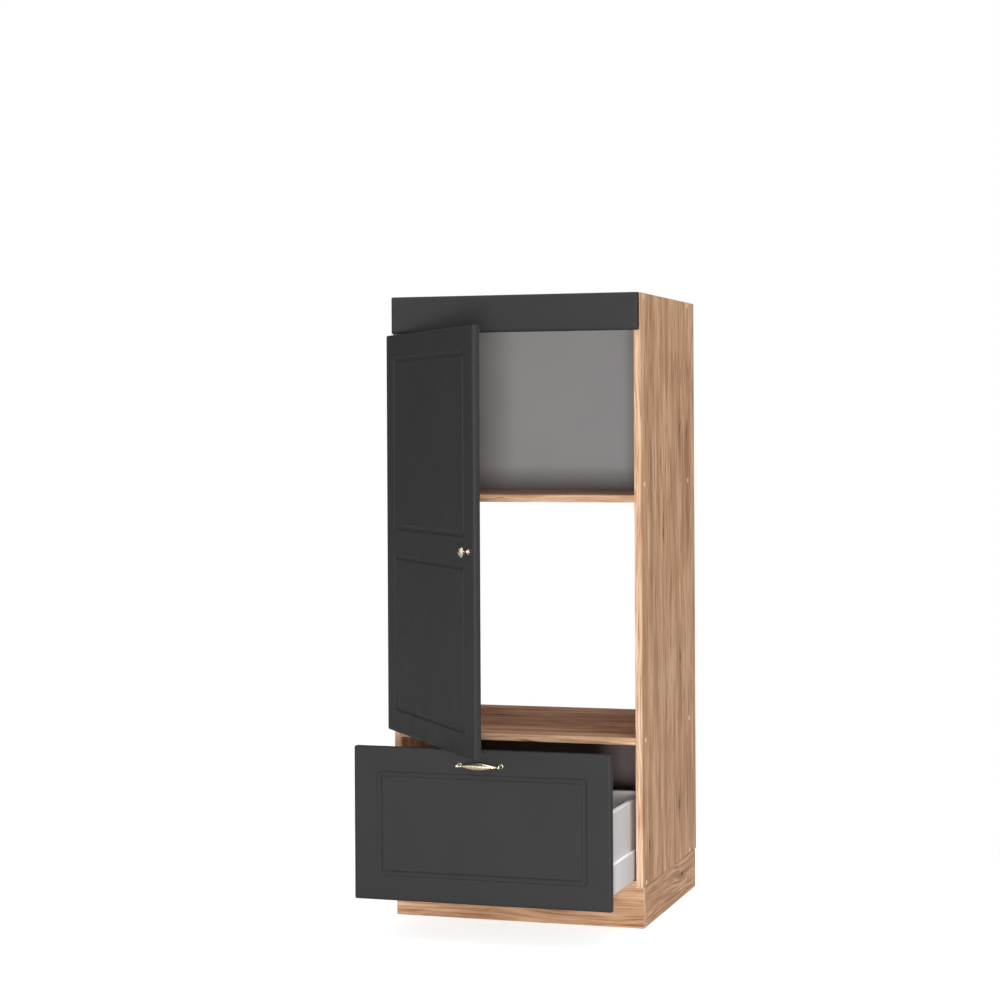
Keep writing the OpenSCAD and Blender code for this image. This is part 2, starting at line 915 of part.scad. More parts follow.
module hinge_cups() {
    color(steel) door_pose() hinge_places() difference() {
        union() {
            difference() {
                union() {
                    translate([cup_offset, -front_gap, 0]) toward_front() cylinder(r = cup_r, h = cup_d);
                    translate([cup_offset, flange_t - front_gap, 0]) toward_front()
                        linear_extrude(flange_t) {
                            circle(flange_r);
                            square([2 * ear_half_w, 2 * ear_half_l], center = true);
                        }
                }
                translate([cup_offset, flange_t - front_gap + cut, 0]) toward_front()
                    cylinder(r = cup_r - cup_wall, h = cup_d - cup_wall + flange_t + cut);
            }
            for (z = [lug_z, -lug_z - lug_t])
                translate([cup_pivot[0] - lug_half_w, -front_gap - cup_d + cup_wall / 2, z])
                    cube([2 * lug_half_w, cup_d - cup_wall / 2 + front_gap + cup_pivot[1] + lug_rise,
                        lug_t]);
        }
        pin_bore(cup_pivot, press_clear);
        cup_screw_places() screw_bore(small_r, cup_screw_l);
    }
}

module hinge_cup_pins() {
    color(zinc) door_pose() hinge_places() pin(cup_pivot, lug_z + lug_t);
}

module hinge_cup_screws() {
    color(zinc) door_pose() hinge_places() cup_screw_places() small_screw(cup_screw_l);
}

// Door

module knob_place() {
    translate([knob_x, front_face_y, midrail_z]) toward_front() children();
}

module door() {
    color(anthracite) door_pose() difference() {
        front_blank(door_z, door_top - door_z);
        field_groove(door_z + door_rail_w, midrail_z - midrail_w / 2);
        field_groove(midrail_z + midrail_w / 2, door_top - door_rail_w);
        hinge_places() {
            translate([cup_offset, cut - front_gap, 0]) toward_front()
                cylinder(r = cup_r + bore_clear, h = cup_d + cut + bore_clear);
            cup_screw_places() screw_bore(small_r, cup_screw_l);
        }
        knob_place() translate([0, 0, -front_t - cut])
            cylinder(r = handle_screw_r + bore_clear, h = front_t + 2 * cut);
    }
}

// Lens-shaped head with a sharp rim, on a waisted neck
knob_outline = concat(
    [[0, rosette_t], [knob_foot_r, rosette_t], [knob_neck_r, knob_neck_z],
        [knob_neck_r, knob_shoulder_z], [knob_r - knob_lip, knob_rim_z - knob_lip]],
    [for (a = [0 : 10 : 90]) [knob_r * cos(a), knob_rim_z + knob_dome_h * sin(a)]]);

module knob() {
    color(old_brass) door_pose() knob_place() difference() {
        rotate_extrude() polygon(knob_outline);
        cylinder(r = handle_screw_r + bore_clear, h = rosette_t + handle_screw_depth);
    }
}

module rosette(r) {
    difference() {
        rotate_extrude() polygon([[0, 0], [r, 0], [r, rosette_t - rosette_edge_t],
            [r - rosette_edge_w, rosette_t], [0, rosette_t]]);
        translate([0, 0, -cut])
            cylinder(r = handle_screw_r + bore_clear, h = rosette_t + 2 * cut);
    }
}

module knob_rosette() {
    color(old_brass) door_pose() knob_place() rosette(knob_rosette_r);
}

// The screw comes from the front's inner face
module handle_screw() {
    translate([0, 0, -front_t]) screw(handle_screw_r, front_t + handle_screw_depth - end_clear,
        handle_screw_head_r, handle_screw_head_t);
}

module knob_screw() {
    color(zinc) door_pose() knob_place() handle_screw();
}

module door_bumpers() {
    color(nylon) door_pose() for (z = [door_z + 2 * bumper_inset, door_top - 2 * bumper_inset])
        bumper(half_w - front_inset - bumper_inset, z);
}

// Drawer

module handle_places() {
    for (s = [-1, 1]) translate([s * handle_pitch / 2, front_face_y, handle_z])
        toward_front() children();
}

module front_bracket_screws() {
    for (z = bracket_screw_zs)
        translate([profile_in_x - bracket_screw_in, drawer_y + sheet_t, z]) toward_front() children();
}

module side_bracket_screw() {
    translate([profile_in_x - sheet_t, drawer_y + bracket_screw_in, bracket_side_z])
        along_x() children();
}

module back_bracket_screws() {
    for (x = [profile_in_x - bracket_screw_in, profile_in_x + drawer_panel_t / 2], z = bracket_screw_zs)
        translate([x, drawer_rear_y + sheet_t, z]) toward_front() children();
}

module profile_screws() {
    for (y = [drawer_y + runner_screw_ends, drawer_y + drawer_len / 2,
        drawer_rear_y - runner_screw_ends])
        translate([profile_screw_x, y, drawer_bottom_z]) children();
}

module back_floor_screws() {
    translate([profile_in_x / 2, drawer_rear_y - drawer_board_t / 2, drawer_bottom_z]) children();
}

module drawer_front() {
    color(anthracite) drawer_pose() difference() {
        front_blank(drawer_front_z, drawer_front_top - drawer_front_z);
        field_groove(drawer_front_z + stile_w, drawer_front_top - stile_w);
        handle_places() translate([0, 0, -front_t - cut])
            cylinder(r = handle_screw_r + bore_clear, h = front_t + 2 * cut);
        both_sides() front_bracket_screws() small_bore();
    }
}

// Half of the grip's outline along its axis: a spindle between two collars and thin necks
function spindle_radius(x) = spindle_end_r
    + (spindle_r - spindle_end_r) * pow(cos(90 * x / spindle_half), spindle_power);
// One end of the grip: a thin neck with a collar, from the post to the spindle
grip_end = [[spindle_end_r, grip_half], [spindle_end_r, spindle_half + collar_end],
    [collar_r, spindle_half + collar_to], [collar_r, spindle_half + collar_from],
    [spindle_end_r, spindle_half]];
grip_outline = concat([[0, -grip_half]], [for (p = grip_end) [p[0], -p[1]]],
    [for (i = [-9 : 9]) [spindle_radius(i * spindle_half / 10), i * spindle_half / 10]],
    [for (i = [len(grip_end) - 1 : -1 : 0]) grip_end[i]], [[0, grip_half]]);

module handle() {
    color(old_brass) drawer_pose() difference() {
        union() {
            handle_places() {
                translate([0, 0, rosette_t]) cylinder(r = post_r, h = handle_reach - rosette_t);
                translate([0, 0, handle_reach]) sphere(r = post_end_r);
            }
            translate([0, front_face_y - handle_reach, handle_z]) along_x()
                rotate_extrude() polygon(grip_outline);
        }
        handle_places() cylinder(r = handle_screw_r + bore_clear, h = rosette_t + handle_screw_depth);
    }
}

module handle_rosettes() {
    color(old_brass) drawer_pose() handle_places() rosette(handle_rosette_r);
}

module handle_screws() {
    color(zinc) drawer_pose() handle_places() handle_screw();
}

// A hollow sheet profile that stands on the drawer's floor, with a skirt beside the runner
module drawer_profile() {
    difference() {
        union() {
            translate([profile_in_x, drawer_y, drawer_floor_z])
                cube([profile_w, drawer_len, profile_rise]);
            translate([profile_x - sheet_t, drawer_y, bay_z + skirt_clear])
                cube([sheet_t, drawer_len, profile_top_z - bay_z - skirt_clear]);
        }
        translate([profile_in_x + sheet_t, drawer_y - cut, drawer_floor_z + sheet_t])
            cube([profile_w - 2 * sheet_t, drawer_len + 2 * cut, profile_rise - 2 * sheet_t]);
        profile_screws() small_bore(profile_screw_l);
    }
}

module drawer_profile_left() {
    color(drawer_grey) drawer_pose() mirror([1, 0, 0]) drawer_profile();
}

module drawer_profile_right() {
    color(drawer_grey) drawer_pose() drawer_profile();
}

module drawer_side() {
    difference() {
        translate([profile_in_x, drawer_y, profile_top_z])
            cube([drawer_panel_t, drawer_len, drawer_side_top_z - profile_top_z]);
        side_bracket_screw() small_bore();
        back_bracket_screws() small_bore();
    }
}

module drawer_side_left() {
    color(drawer_grey) drawer_pose() mirror([1, 0, 0]) drawer_side();
}

module drawer_side_right() {
    color(drawer_grey) drawer_pose() drawer_side();
}

module drawer_bottom() {
    floor_half = profile_x - sheet_t;
    color(drawer_grey) drawer_pose() difference() {
        translate([-floor_half, drawer_y, drawer_bottom_z])
            cube([2 * floor_half, drawer_len, drawer_board_t]);
        both_sides() profile_screws() small_bore(profile_screw_l);
        both_sides() back_floor_screws() small_bore(back_screw_l);
        runner_screw_places() translate([0, 0, drawer_bottom_z - sheet_t])
            screw_bore(euro_r, euro_l);
    }
}

module drawer_back() {
    color(drawer_grey) drawer_pose() difference() {
        translate([-profile_in_x, drawer_rear_y - drawer_board_t, drawer_floor_z])
            cube([2 * profile_in_x, drawer_board_t, drawer_back_rise]);
        both_sides() back_bracket_screws() small_bore();
        both_sides() back_floor_screws() small_bore(back_screw_l);
    }
}

// Plates behind the drawer's back, which hold it to the side panels
module drawer_back_brackets() {
    color(zinc) drawer_pose() both_sides() difference() {
        translate([profile_in_x - back_bracket_in, drawer_rear_y, drawer_floor_z])
            cube([back_bracket_in + drawer_panel_t, sheet_t, drawer_back_rise]);
        back_bracket_screws() small_bore();
    }
}

// Angles in the drawer's front corners
module drawer_front_brackets() {
    bracket_h = drawer_bracket_top_z - drawer_bracket_z;
    color(zinc) drawer_pose() both_sides() difference() {
        union() {
            translate([profile_in_x - drawer_bracket_w, drawer_y, drawer_bracket_z])
                cube([drawer_bracket_w, sheet_t, bracket_h]);
            translate([profile_in_x - sheet_t, drawer_y, drawer_bracket_z])
                cube([sheet_t, drawer_bracket_w, bracket_h]);
        }
        front_bracket_screws() small_bore();
        side_bracket_screw() small_bore();
    }
}

module drawer_screws() {
    color(zinc) drawer_pose() both_sides() {
        front_bracket_screws() small_screw();
        side_bracket_screw() small_screw();
        back_bracket_screws() small_screw();
        profile_screws() small_screw(profile_screw_l);
        back_floor_screws() small_screw(back_screw_l);
    }
}

module drawer_bumpers() {
    color(nylon) drawer_pose() both_sides()
        bumper(half_w - front_inset - bumper_inset, drawer_front_top - 5 * bumper_inset);
}

// Runners

// A channel that lies open side up on z = 0, with inward lips
module runner_channel() {
    difference() {
        translate([-runner_w / 2, 0, 0]) cube([runner_w, runner_len, runner_channel_h]);
        translate([sheet_t - runner_w / 2, -cut, sheet_t])
            cube([runner_w - 2 * sheet_t, runner_len + 2 * cut, runner_channel_h - 2 * sheet_t]);
        translate([sheet_t + runner_lip - runner_w / 2, -cut, sheet_t])
            cube([runner_w - 2 * (sheet_t + runner_lip), runner_len + 2 * cut, runner_channel_h]);
    }
}

module runner_cabinet_members() {
    color(zinc) difference() {
        both_sides() translate([runner_x, runner_y, bay_z]) runner_channel();
        runner_screw_places() translate([0, 0, bay_z + sheet_t]) toward_floor()
            screw_bore(euro_r, euro_l);
    }
}

module runner_drawer_members() {
    color(zinc) drawer_pose() difference() {
        both_sides() translate([runner_x, runner_y, drawer_bottom_z])
            mirror([0, 0, 1]) runner_channel();
        runner_screw_places() translate([0, 0, drawer_bottom_z - sheet_t])
            screw_bore(euro_r, euro_l);
    }
}

module euro_screw() {
    screw(euro_r, euro_l, euro_head_r, euro_head_t);
}

module euro_screws() {
    color(zinc) {
        hinge_places() plate_screw_places() euro_screw();
        runner_screw_places() translate([0, 0, bay_z + sheet_t]) toward_floor() euro_screw();
    }
}

module runner_drawer_screws() {
    color(zinc) drawer_pose() runner_screw_places()
        translate([0, 0, drawer_bottom_z - sheet_t]) euro_screw();
}

flange_low_z = bay_z + runner_channel_h / 2 - sheet_t / 2;
flange_high_z = drawer_bottom_z - runner_channel_h / 2 - sheet_t / 2;

// An I-section that links the two channels
module runner_middle_members() {
    color(zinc) middle_pose() both_sides() translate([runner_x, runner_y, 0]) {
        for (z = [flange_low_z, flange_high_z]) translate([-middle_half, 0, z])
            cube([2 * middle_half, runner_len, sheet_t]);
        translate([-middle_web_t / 2, 0, flange_low_z])
            cube([middle_web_t, runner_len, flange_high_z - flange_low_z + sheet_t]);
    }
}

// A nylon block on the edge of a flange, centred on the flange's height
module slide_block() {
    block_h = runner_channel_h - 2 * sheet_t - 2 * slide_clear;
    block_x = runner_w / 2 - sheet_t - slide_clear;
    difference() {
        translate([block_inner_x, 0, (sheet_t - block_h) / 2])
            cube([block_x - block_inner_x, block_l, block_h]);
        translate([block_inner_x - cut, -cut, 0])
            cube([middle_half - block_inner_x + cut, block_l + 2 * cut, sheet_t]);
    }
}

// Blocks at the rear and middle of the lower flange, and at the front and middle of the upper one
module runner_slide_blocks() {
    mid = runner_len / 2;
    color(nylon) middle_pose() both_sides() translate([runner_x, runner_y, 0])
        for (place = [[runner_len - block_l, flange_low_z], [mid - block_l, flange_low_z],
            [0, flange_high_z], [mid, flange_high_z]])
            translate([0, place[0], place[1]]) both_sides() slide_block();
}

side_left();
side_right();
top_panel();
upper_shelf();
niche_floor();
bottom_panel();
back_upper();
back_lower();
fascia();
fascia_pads();
fascia_brackets();
wall_brackets();
shelf_cams();
cam_bolts();
bracket_screws();
connecting_screws();
dowels();
cover_caps();
plinth_front();
plinth_back();
plinth_left();
plinth_right();
plinth_blocks();
plinth_screws();
hinge_plates();
hinge_arms();
hinge_arm_pins();
hinge_arm_screws();
runner_cabinet_members();
euro_screws();
hinge_inner_links();
hinge_elbow_pins();
hinge_outer_links();
door();
knob();
knob_rosette();
knob_screw();
door_bumpers();
hinge_cups();
hinge_cup_pins();
hinge_cup_screws();
runner_middle_members();
runner_slide_blocks();
drawer_front();
handle();
handle_rosettes();
handle_screws();
drawer_profile_left();
drawer_profile_right();
drawer_side_left();
drawer_side_right();
drawer_bottom();
drawer_back();
drawer_back_brackets();
drawer_front_brackets();
drawer_screws();
drawer_bumpers();
runner_drawer_members();
runner_drawer_screws();
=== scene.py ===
import json
import logging
import math
from collections.abc import Iterable, Sequence
from dataclasses import dataclass, field
from enum import Enum

import bmesh
import bpy
from mathutils import Matrix, Vector
from mathutils.geometry import tessellate_polygon

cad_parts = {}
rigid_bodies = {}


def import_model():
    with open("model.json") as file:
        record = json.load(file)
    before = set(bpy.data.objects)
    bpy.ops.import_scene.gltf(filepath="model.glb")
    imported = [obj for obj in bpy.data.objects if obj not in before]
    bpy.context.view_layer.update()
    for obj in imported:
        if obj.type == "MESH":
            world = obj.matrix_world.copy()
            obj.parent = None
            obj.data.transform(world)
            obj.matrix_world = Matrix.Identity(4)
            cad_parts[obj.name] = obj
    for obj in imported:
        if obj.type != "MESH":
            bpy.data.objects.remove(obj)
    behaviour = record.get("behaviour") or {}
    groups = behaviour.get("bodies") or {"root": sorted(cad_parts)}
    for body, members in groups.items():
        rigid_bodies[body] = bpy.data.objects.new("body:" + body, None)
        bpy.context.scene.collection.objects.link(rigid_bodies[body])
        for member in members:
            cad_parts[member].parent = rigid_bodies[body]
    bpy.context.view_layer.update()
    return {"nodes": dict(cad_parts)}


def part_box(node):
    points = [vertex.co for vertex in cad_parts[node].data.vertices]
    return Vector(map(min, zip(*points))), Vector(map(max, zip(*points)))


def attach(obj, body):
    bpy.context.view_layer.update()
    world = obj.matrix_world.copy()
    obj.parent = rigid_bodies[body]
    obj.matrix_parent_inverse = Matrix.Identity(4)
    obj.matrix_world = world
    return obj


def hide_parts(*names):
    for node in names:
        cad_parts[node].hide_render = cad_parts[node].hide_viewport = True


# Looks of a microwave cabinet: oak decor carcass, framed anthracite fronts, an open door and a
# drawer that stands open. Lengths of the cabinet are millimetres in its own frame: +X to the
# right, +Y to the back, +Z up, with the origin on the floor at the plinth's front. Lengths in
# the studio and in the materials are metres.

LOG = logging.getLogger("cabinet")
MM = 0.001

Point = tuple[float, float, float]
Flat = tuple[float, float]
Rgb = tuple[int, int, int]
Shape = bpy.types.Object
Socket = bpy.types.NodeSocket

# Sizes that several sub-assemblies share. The knob sits on the door's middle rail.
DOOR_ANGLE = 52.0
HINGE_LINE: Point = (-300.0, -10.0, 0.0)
DRAWER_PULL = 256.0
FRONT_HALF = 298.0
FACE_Y = -28.0
BACK_Y = -12.0
HINGE_ZS = (539.0, 901.5, 1264.0)
CUP_X = -275.5
KNOB_X = 270.0
MIDRAIL_Z = 882.0
HANDLE_X = 48.0
HANDLE_Z = 400.0


# ---------------------------------------------------------------- named options


class Body(Enum):
    """The bodies that new pieces ride on."""

    CARCASS = "carcass"
    DOOR = "door"
    DRAWER = "drawer"

    def rest(self) -> Matrix:
        """The move from the closed cabinet to the rest state, in millimetres.

        Returns:
            The matrix of that move.
        """
        if self is Body.DOOR:
            corner = Vector(HINGE_LINE)
            turn = Matrix.Rotation(math.radians(-DOOR_ANGLE), 4, "Z")
            return Matrix.Translation(corner) @ turn @ Matrix.Translation(-corner)
        if self is Body.DRAWER:
            return Matrix.Translation(Vector((0.0, -DRAWER_PULL, 0.0)))
        return Matrix.Identity(4)


class Slot(Enum):
    """The record's material slots that new pieces take."""

    OAK = "oak_decor"
    FRONT = "anthracite_front"
    GREY_METAL = "grey_metal"
    GREY_BOARD = "grey_board"
    ZINC = "zinc_steel"
    BRASS = "antique_brass"
    NYLON = "clear_nylon"
    CAP = "cap_plastic"


class Grain(Enum):
    """The direction of the grain, with the turn that lays it along the pattern's X axis."""

    ALONG_X = (0.0, 0.0, 0.0)
    ALONG_Y = (0.0, 0.0, -math.pi / 2)
    ALONG_Z = (0.0, math.pi / 2, 0.0)


class Side(Enum):
    """A side of a board, as the axis and the sign of its outward direction."""

    LEFT = (0, -1)
    RIGHT = (0, 1)
    FRONT = (1, -1)
    REAR = (1, 1)
    BELOW = (2, -1)
    ABOVE = (2, 1)


class Aim(Enum):
    """The direction in which a fixing's head points."""

    LEFT = (-1, 0, 0)
    RIGHT = (1, 0, 0)
    FORWARD = (0, -1, 0)
    BACKWARD = (0, 1, 0)
    DOWN = (0, 0, -1)
    UP = (0, 0, 1)


# ---------------------------------------------------------------- node helpers


def linear(colour: Rgb) -> tuple[float, float, float, float]:
    """Turns a display colour from 0 to 255 into the linear colour that a shader takes."""
    parts = [c / 255 for c in colour]
    return (*[p / 12.92 if p <= 0.04045 else ((p + 0.055) / 1.055) ** 2.4 for p in parts], 1.0)


class NodeSheet:
    """Adds nodes to a tree and wires them. Where a method takes an object, it is a socket or a value."""

    def __init__(self, tree: bpy.types.NodeTree) -> None:
        """Starts on a tree."""
        self.tree = tree

    def add(self, kind: str, inputs: dict | None = None, **settings: object) -> bpy.types.Node:
        """Adds one node.

        Args:
            kind: The node's type.
            inputs: What each input gets, by its name or number.
            settings: The node's own settings.

        Returns:
            The new node.
        """
        node = self.tree.nodes.new(kind)
        for name, value in settings.items():
            setattr(node, name, value)
        self.feed(node, inputs or {})
        return node

    def feed(self, node: bpy.types.Node, inputs: dict) -> None:
        """Gives a node its inputs.

        Args:
            node: The node.
            inputs: What each input gets, by its name or number: a socket, a list of them or a value.
        """
        for key, value in inputs.items():
            for one in value if isinstance(value, list) else [value]:
                if isinstance(one, Socket):
                    self.tree.links.new(one, node.inputs[key])
                else:
                    node.inputs[key].default_value = one

    def out(self, kind: str, inputs: dict | None = None, **settings: object) -> Socket:
        """Adds one node and gives its first output."""
        return self.add(kind, inputs, **settings).outputs[0]

    def find(self, kind: str) -> bpy.types.Node:
        """Gives the first node of a kind that the tree already has."""
        return next(n for n in self.tree.nodes if n.type == kind)

    def maths(self, operation: str, *values: object) -> Socket:
        """Adds a sum of one or two numbers."""
        return self.out("ShaderNodeMath", dict(enumerate(values)), operation=operation)

    def times(self, a: object, b: object) -> Socket:
        """Adds a product."""
        return self.maths("MULTIPLY", a, b)

    def plus(self, a: object, b: object) -> Socket:
        """Adds a sum."""
        return self.maths("ADD", a, b)

    def vector(self, operation: str, a: object, b: object) -> Socket:
        """Adds a sum of two vectors."""
        return self.out("ShaderNodeVectorMath", {0: a, 1: b}, operation=operation)

    def point(self, x: object = 0.0, y: object = 0.0, z: object = 0.0) -> Socket:
        """Adds a vector from its three parts."""
        return self.out("ShaderNodeCombineXYZ", {0: x, 1: y, 2: z})

    def channels(self, colour: Socket) -> Sequence[Socket]:
        """Adds the split of a colour into red, green and blue."""
        return self.add("ShaderNodeSeparateColor", {0: colour}).outputs

    def noise(self, place: object, scale: Point, detail: float = 2.0, rough: float = 0.5) -> Socket:
        """Adds a noise from about 0 to 1, with a scale of features to the metre for each axis."""
        inputs = {"Vector": self.vector("MULTIPLY", place, scale), "Scale": 1.0, "Detail": detail}
        return self.out("ShaderNodeTexNoise", {**inputs, "Roughness": rough})

    def ramp(self, value: object, *stops: tuple[float, Rgb]) -> Socket:
        """Adds a colour ramp.

        Args:
            value: The socket that it reads.
            stops: Places from 0 to 1 with their display colours.

        Returns:
            The colour's socket.
        """
        node = self.add("ShaderNodeValToRGB", {0: value})
        marks = node.color_ramp.elements
        while len(marks) < len(stops):
            marks.new(0.5)
        for mark, (place, colour) in zip(marks, stops):
            mark.position = place
            mark.color = linear(colour)
        return node.outputs[0]

    def rise(self, value: object, low: float, high: float, start: float = 0.0, end: float = 1.0) -> Socket:
        """Adds a smooth rise from start to end while the value goes from low to high."""
        inputs = {0: value, 1: low, 2: high, 3: start, 4: end}
        return self.out("ShaderNodeMapRange", inputs, interpolation_type="SMOOTHSTEP")

    def blend(self, share: object, a: object, b: object, kind: str = "MIX") -> Socket:
        """Adds a mix of two colours, with a share of the second."""
        return self.add("ShaderNodeMix", {0: share, 6: a, 7: b}, data_type="RGBA", blend_type=kind).outputs[2]


class Surface(NodeSheet):
    """The nodes of a new material, with its surface shader and the object's coordinates."""

    def __init__(self, name: str) -> None:
        """Makes the material.

        Args:
            name: The material's name.
        """
        self.material = bpy.data.materials.new(name)
        self.material.use_nodes = True
        super().__init__(self.material.node_tree)
        self.shader = self.find("BSDF_PRINCIPLED")
        self.place = self.add("ShaderNodeTexCoord").outputs["Object"]

    def set(self, **inputs: object) -> None:
        """Gives the surface shader its inputs, whose names have _ for a blank."""
        self.feed(self.shader, {name.replace("_", " "): value for name, value in inputs.items()})

    def bump(self, height: Socket, depth: float, strength: float = 1.0) -> None:
        """Gives the surface a relief, where a height of 1 is a depth in metres."""
        inputs = {"Strength": strength, "Distance": depth, "Height": height}
        self.set(Normal=self.out("ShaderNodeBump", inputs))


# ---------------------------------------------------------------- finishes


@dataclass(frozen=True)
class Finish:
    """A finish, whose paint method wires its nodes."""

    name: str

    def material(self) -> bpy.types.Material:
        """Makes the finish's material.

        Returns:
            The new material.
        """
        surface = Surface(self.name)
        self.paint(surface)
        return surface.material

    def paint(self, sheet: Surface) -> None:
        """Wires the material's nodes, in each kind of finish."""
        raise NotImplementedError


@dataclass(frozen=True)
class OakDecor(Finish):
    """Printed oak: broad bands, dark veins, fine fibres and a few small knots with dark tails."""

    grain: Grain
    dark: Rgb = (184, 140, 106)
    middle: Rgb = (214, 171, 136)
    pale: Rgb = (233, 193, 158)
    vein: Rgb = (138, 93, 63)
    knot: Rgb = (90, 60, 42)
    veins: float = 0.85
    knotty: float = 0.4
    shift: Point = (0.0, 0.0, 0.0)
    fibre_shade: Rgb = (196, 179, 165)
    sway: float = 0.032
    knot_pull: float = 0.010
    knot_cells: Point = (3.1, 9.5, 1.0)

    def paint(self, sheet: Surface) -> None:
        """Wires the decor.

        Args:
            sheet: The material's nodes.
        """
        mapped = {"Vector": sheet.place, "Location": self.shift, "Rotation": self.grain.value}
        turned = sheet.out("ShaderNodeMapping", mapped)
        along, one, other = sheet.add("ShaderNodeSeparateXYZ", {0: turned}).outputs
        wander = sheet.noise(turned, (3.4, 7.0, 7.0))
        sway = sheet.times(sheet.maths("SUBTRACT", wander, 0.5), self.sway)
        across = sheet.plus(sheet.plus(one, other), sway)
        knots, rings, tails = self.knots(sheet, along, across)
        flow = sheet.point(along, sheet.plus(across, sheet.times(rings, self.knot_pull)))
        bands = sheet.noise(flow, (2.4, 22.0, 1.0), 4.0, 0.62)
        colour = sheet.ramp(bands, (0.34, self.dark), (0.50, self.middle), (0.64, self.pale))
        fibres = sheet.noise(flow, (6.0, 215.0, 1.0), 3.0, 0.62)
        tone = sheet.ramp(fibres, (0.34, self.fibre_shade), (0.57, (255, 255, 255)))
        colour = sheet.blend(1.0, colour, tone, "MULTIPLY")
        veins = sheet.rise(sheet.noise(flow, (9.0, 140.0, 1.0), 2.0, 0.55), 0.57, 0.68)
        gathered = sheet.rise(sheet.noise(flow, (2.6, 15.0, 7.0)), 0.44, 0.58, 0.10, self.veins)
        layers = ((veins, gathered, self.vein), (tails, 0.62, self.vein), (rings, 0.35, self.vein),
                  (knots, 0.9, self.knot))
        for mask, share, tint in layers:
            colour = sheet.blend(sheet.times(mask, share), colour, linear(tint))
        worn = sheet.rise(sheet.noise(turned, (5.0, 9.0, 9.0), 3.0), 0.35, 0.7, 0.50, 0.60)
        sheet.set(Base_Color=colour, Roughness=sheet.plus(worn, sheet.times(fibres, 0.08)))
        sheet.set(Specular_IOR_Level=0.18)
        pores = sheet.noise(flow, (30.0, 1500.0, 1.0), 1.0)
        sheet.bump(sheet.plus(sheet.times(fibres, 0.6), sheet.times(pores, 0.4)), 0.00012, 0.6)

    def knots(self, sheet: Surface, along: Socket, across: Socket) -> tuple[Socket, ...]:
        """Adds the knots, which only some of the cells hold.

        Args:
            sheet: The material's nodes.
            along: The place along the grain.
            across: The place across it.

        Returns:
            The knots' cores, the darker wood round them and their tails.
        """
        spot = sheet.point(along, across)
        ragged = sheet.noise(spot, (70.0, 240.0, 1.0))
        loose = sheet.point(sheet.times(ragged, 0.012), sheet.times(ragged, 0.003))
        cells = sheet.vector("MULTIPLY", sheet.vector("ADD", spot, loose), self.knot_cells)
        inputs = {"Vector": cells, "Scale": 1.0, "Randomness": 0.85}
        node = sheet.add("ShaderNodeTexVoronoi", inputs, voronoi_dimensions="2D")
        chance = sheet.channels(node.outputs["Color"])[0]
        chosen = sheet.rise(chance, 1.0 - self.knotty, 1.04 - self.knotty)
        offset = sheet.vector("SUBTRACT", cells, node.outputs["Position"])
        parts = sheet.add("ShaderNodeSeparateXYZ", {0: offset}).outputs
        reach = [sheet.maths("ABSOLUTE", part) for part in parts[:2]]
        tail = sheet.times(sheet.rise(reach[1], 0.045, 0.0), sheet.rise(reach[0], 0.38, 0.02))
        core = sheet.rise(node.outputs["Distance"], 0.055, 0.025)
        ring = sheet.rise(node.outputs["Distance"], 0.17, 0.03)
        return tuple(sheet.times(mask, chosen) for mask in (core, ring, tail))


@dataclass(frozen=True)
class Chipboard(Finish):
    """The bare core of a board, on the edges that have no band."""

    name: str = "chipboard_core"
    chips: Point = (420.0, 420.0, 700.0)

    def paint(self, sheet: Surface) -> None:
        """Wires the chips.

        Args:
            sheet: The material's nodes.
        """
        inputs = {"Vector": sheet.vector("MULTIPLY", sheet.place, self.chips), "Scale": 1.0}
        chip = sheet.channels(sheet.add("ShaderNodeTexVoronoi", inputs).outputs["Color"])
        colour = sheet.ramp(chip[0], (0.0, (142, 112, 80)), (0.45, (186, 155, 116)), (1.0, (214, 187, 148)))
        sheet.set(Base_Color=colour, Roughness=sheet.rise(chip[1], 0.0, 1.0, 0.75, 0.95))
        sheet.bump(chip[0], 0.0003, 0.7)


def even(scale: float) -> Point:
    """A scale that is the same along each axis."""
    return (scale, scale, scale)


@dataclass(frozen=True)
class Sheen(Finish):
    """An even coating, foil, plastic or metal with fine grain, cloudy variation and wear."""

    colour: Rgb
    cloud: Rgb
    rough: tuple[float, float] = (0.45, 0.60)
    metallic: float = 0.0
    specular: float = 0.5
    grain: Point = even(900.0)
    grain_depth: float = 0.00003
    clouds: Point = even(9.0)
    flecks: Rgb | None = None
    fleck_scale: float = 300.0
    through: float = 0.0

    def paint(self, sheet: Surface) -> None:
        """Wires the coating.

        Args:
            sheet: The material's nodes.
        """
        clouds = sheet.noise(sheet.place, self.clouds, 4.0, 0.55)
        colour = sheet.ramp(clouds, (0.32, self.cloud), (0.66, self.colour))
        grain = sheet.noise(sheet.place, self.grain, 3.0, 0.6)
        if self.flecks is not None:
            inputs = {"Vector": sheet.place, "Scale": self.fleck_scale}
            spangle = sheet.channels(sheet.add("ShaderNodeTexVoronoi", inputs).outputs["Color"])[0]
            colour = sheet.blend(sheet.rise(spangle, 0.35, 1.0, 0.0, 0.55), colour, linear(self.flecks))
        shade = sheet.ramp(grain, (0.30, (236, 236, 236)), (0.62, (255, 255, 255)))
        worn = sheet.noise(sheet.place, tuple(4 * c for c in self.clouds), 3.0)
        sheet.set(Base_Color=sheet.blend(1.0, colour, shade, "MULTIPLY"), Metallic=self.metallic,
                  Roughness=sheet.rise(worn, 0.3, 0.7, *self.rough), Specular_IOR_Level=self.specular,
                  Transmission_Weight=self.through)
        sheet.bump(grain, self.grain_depth)


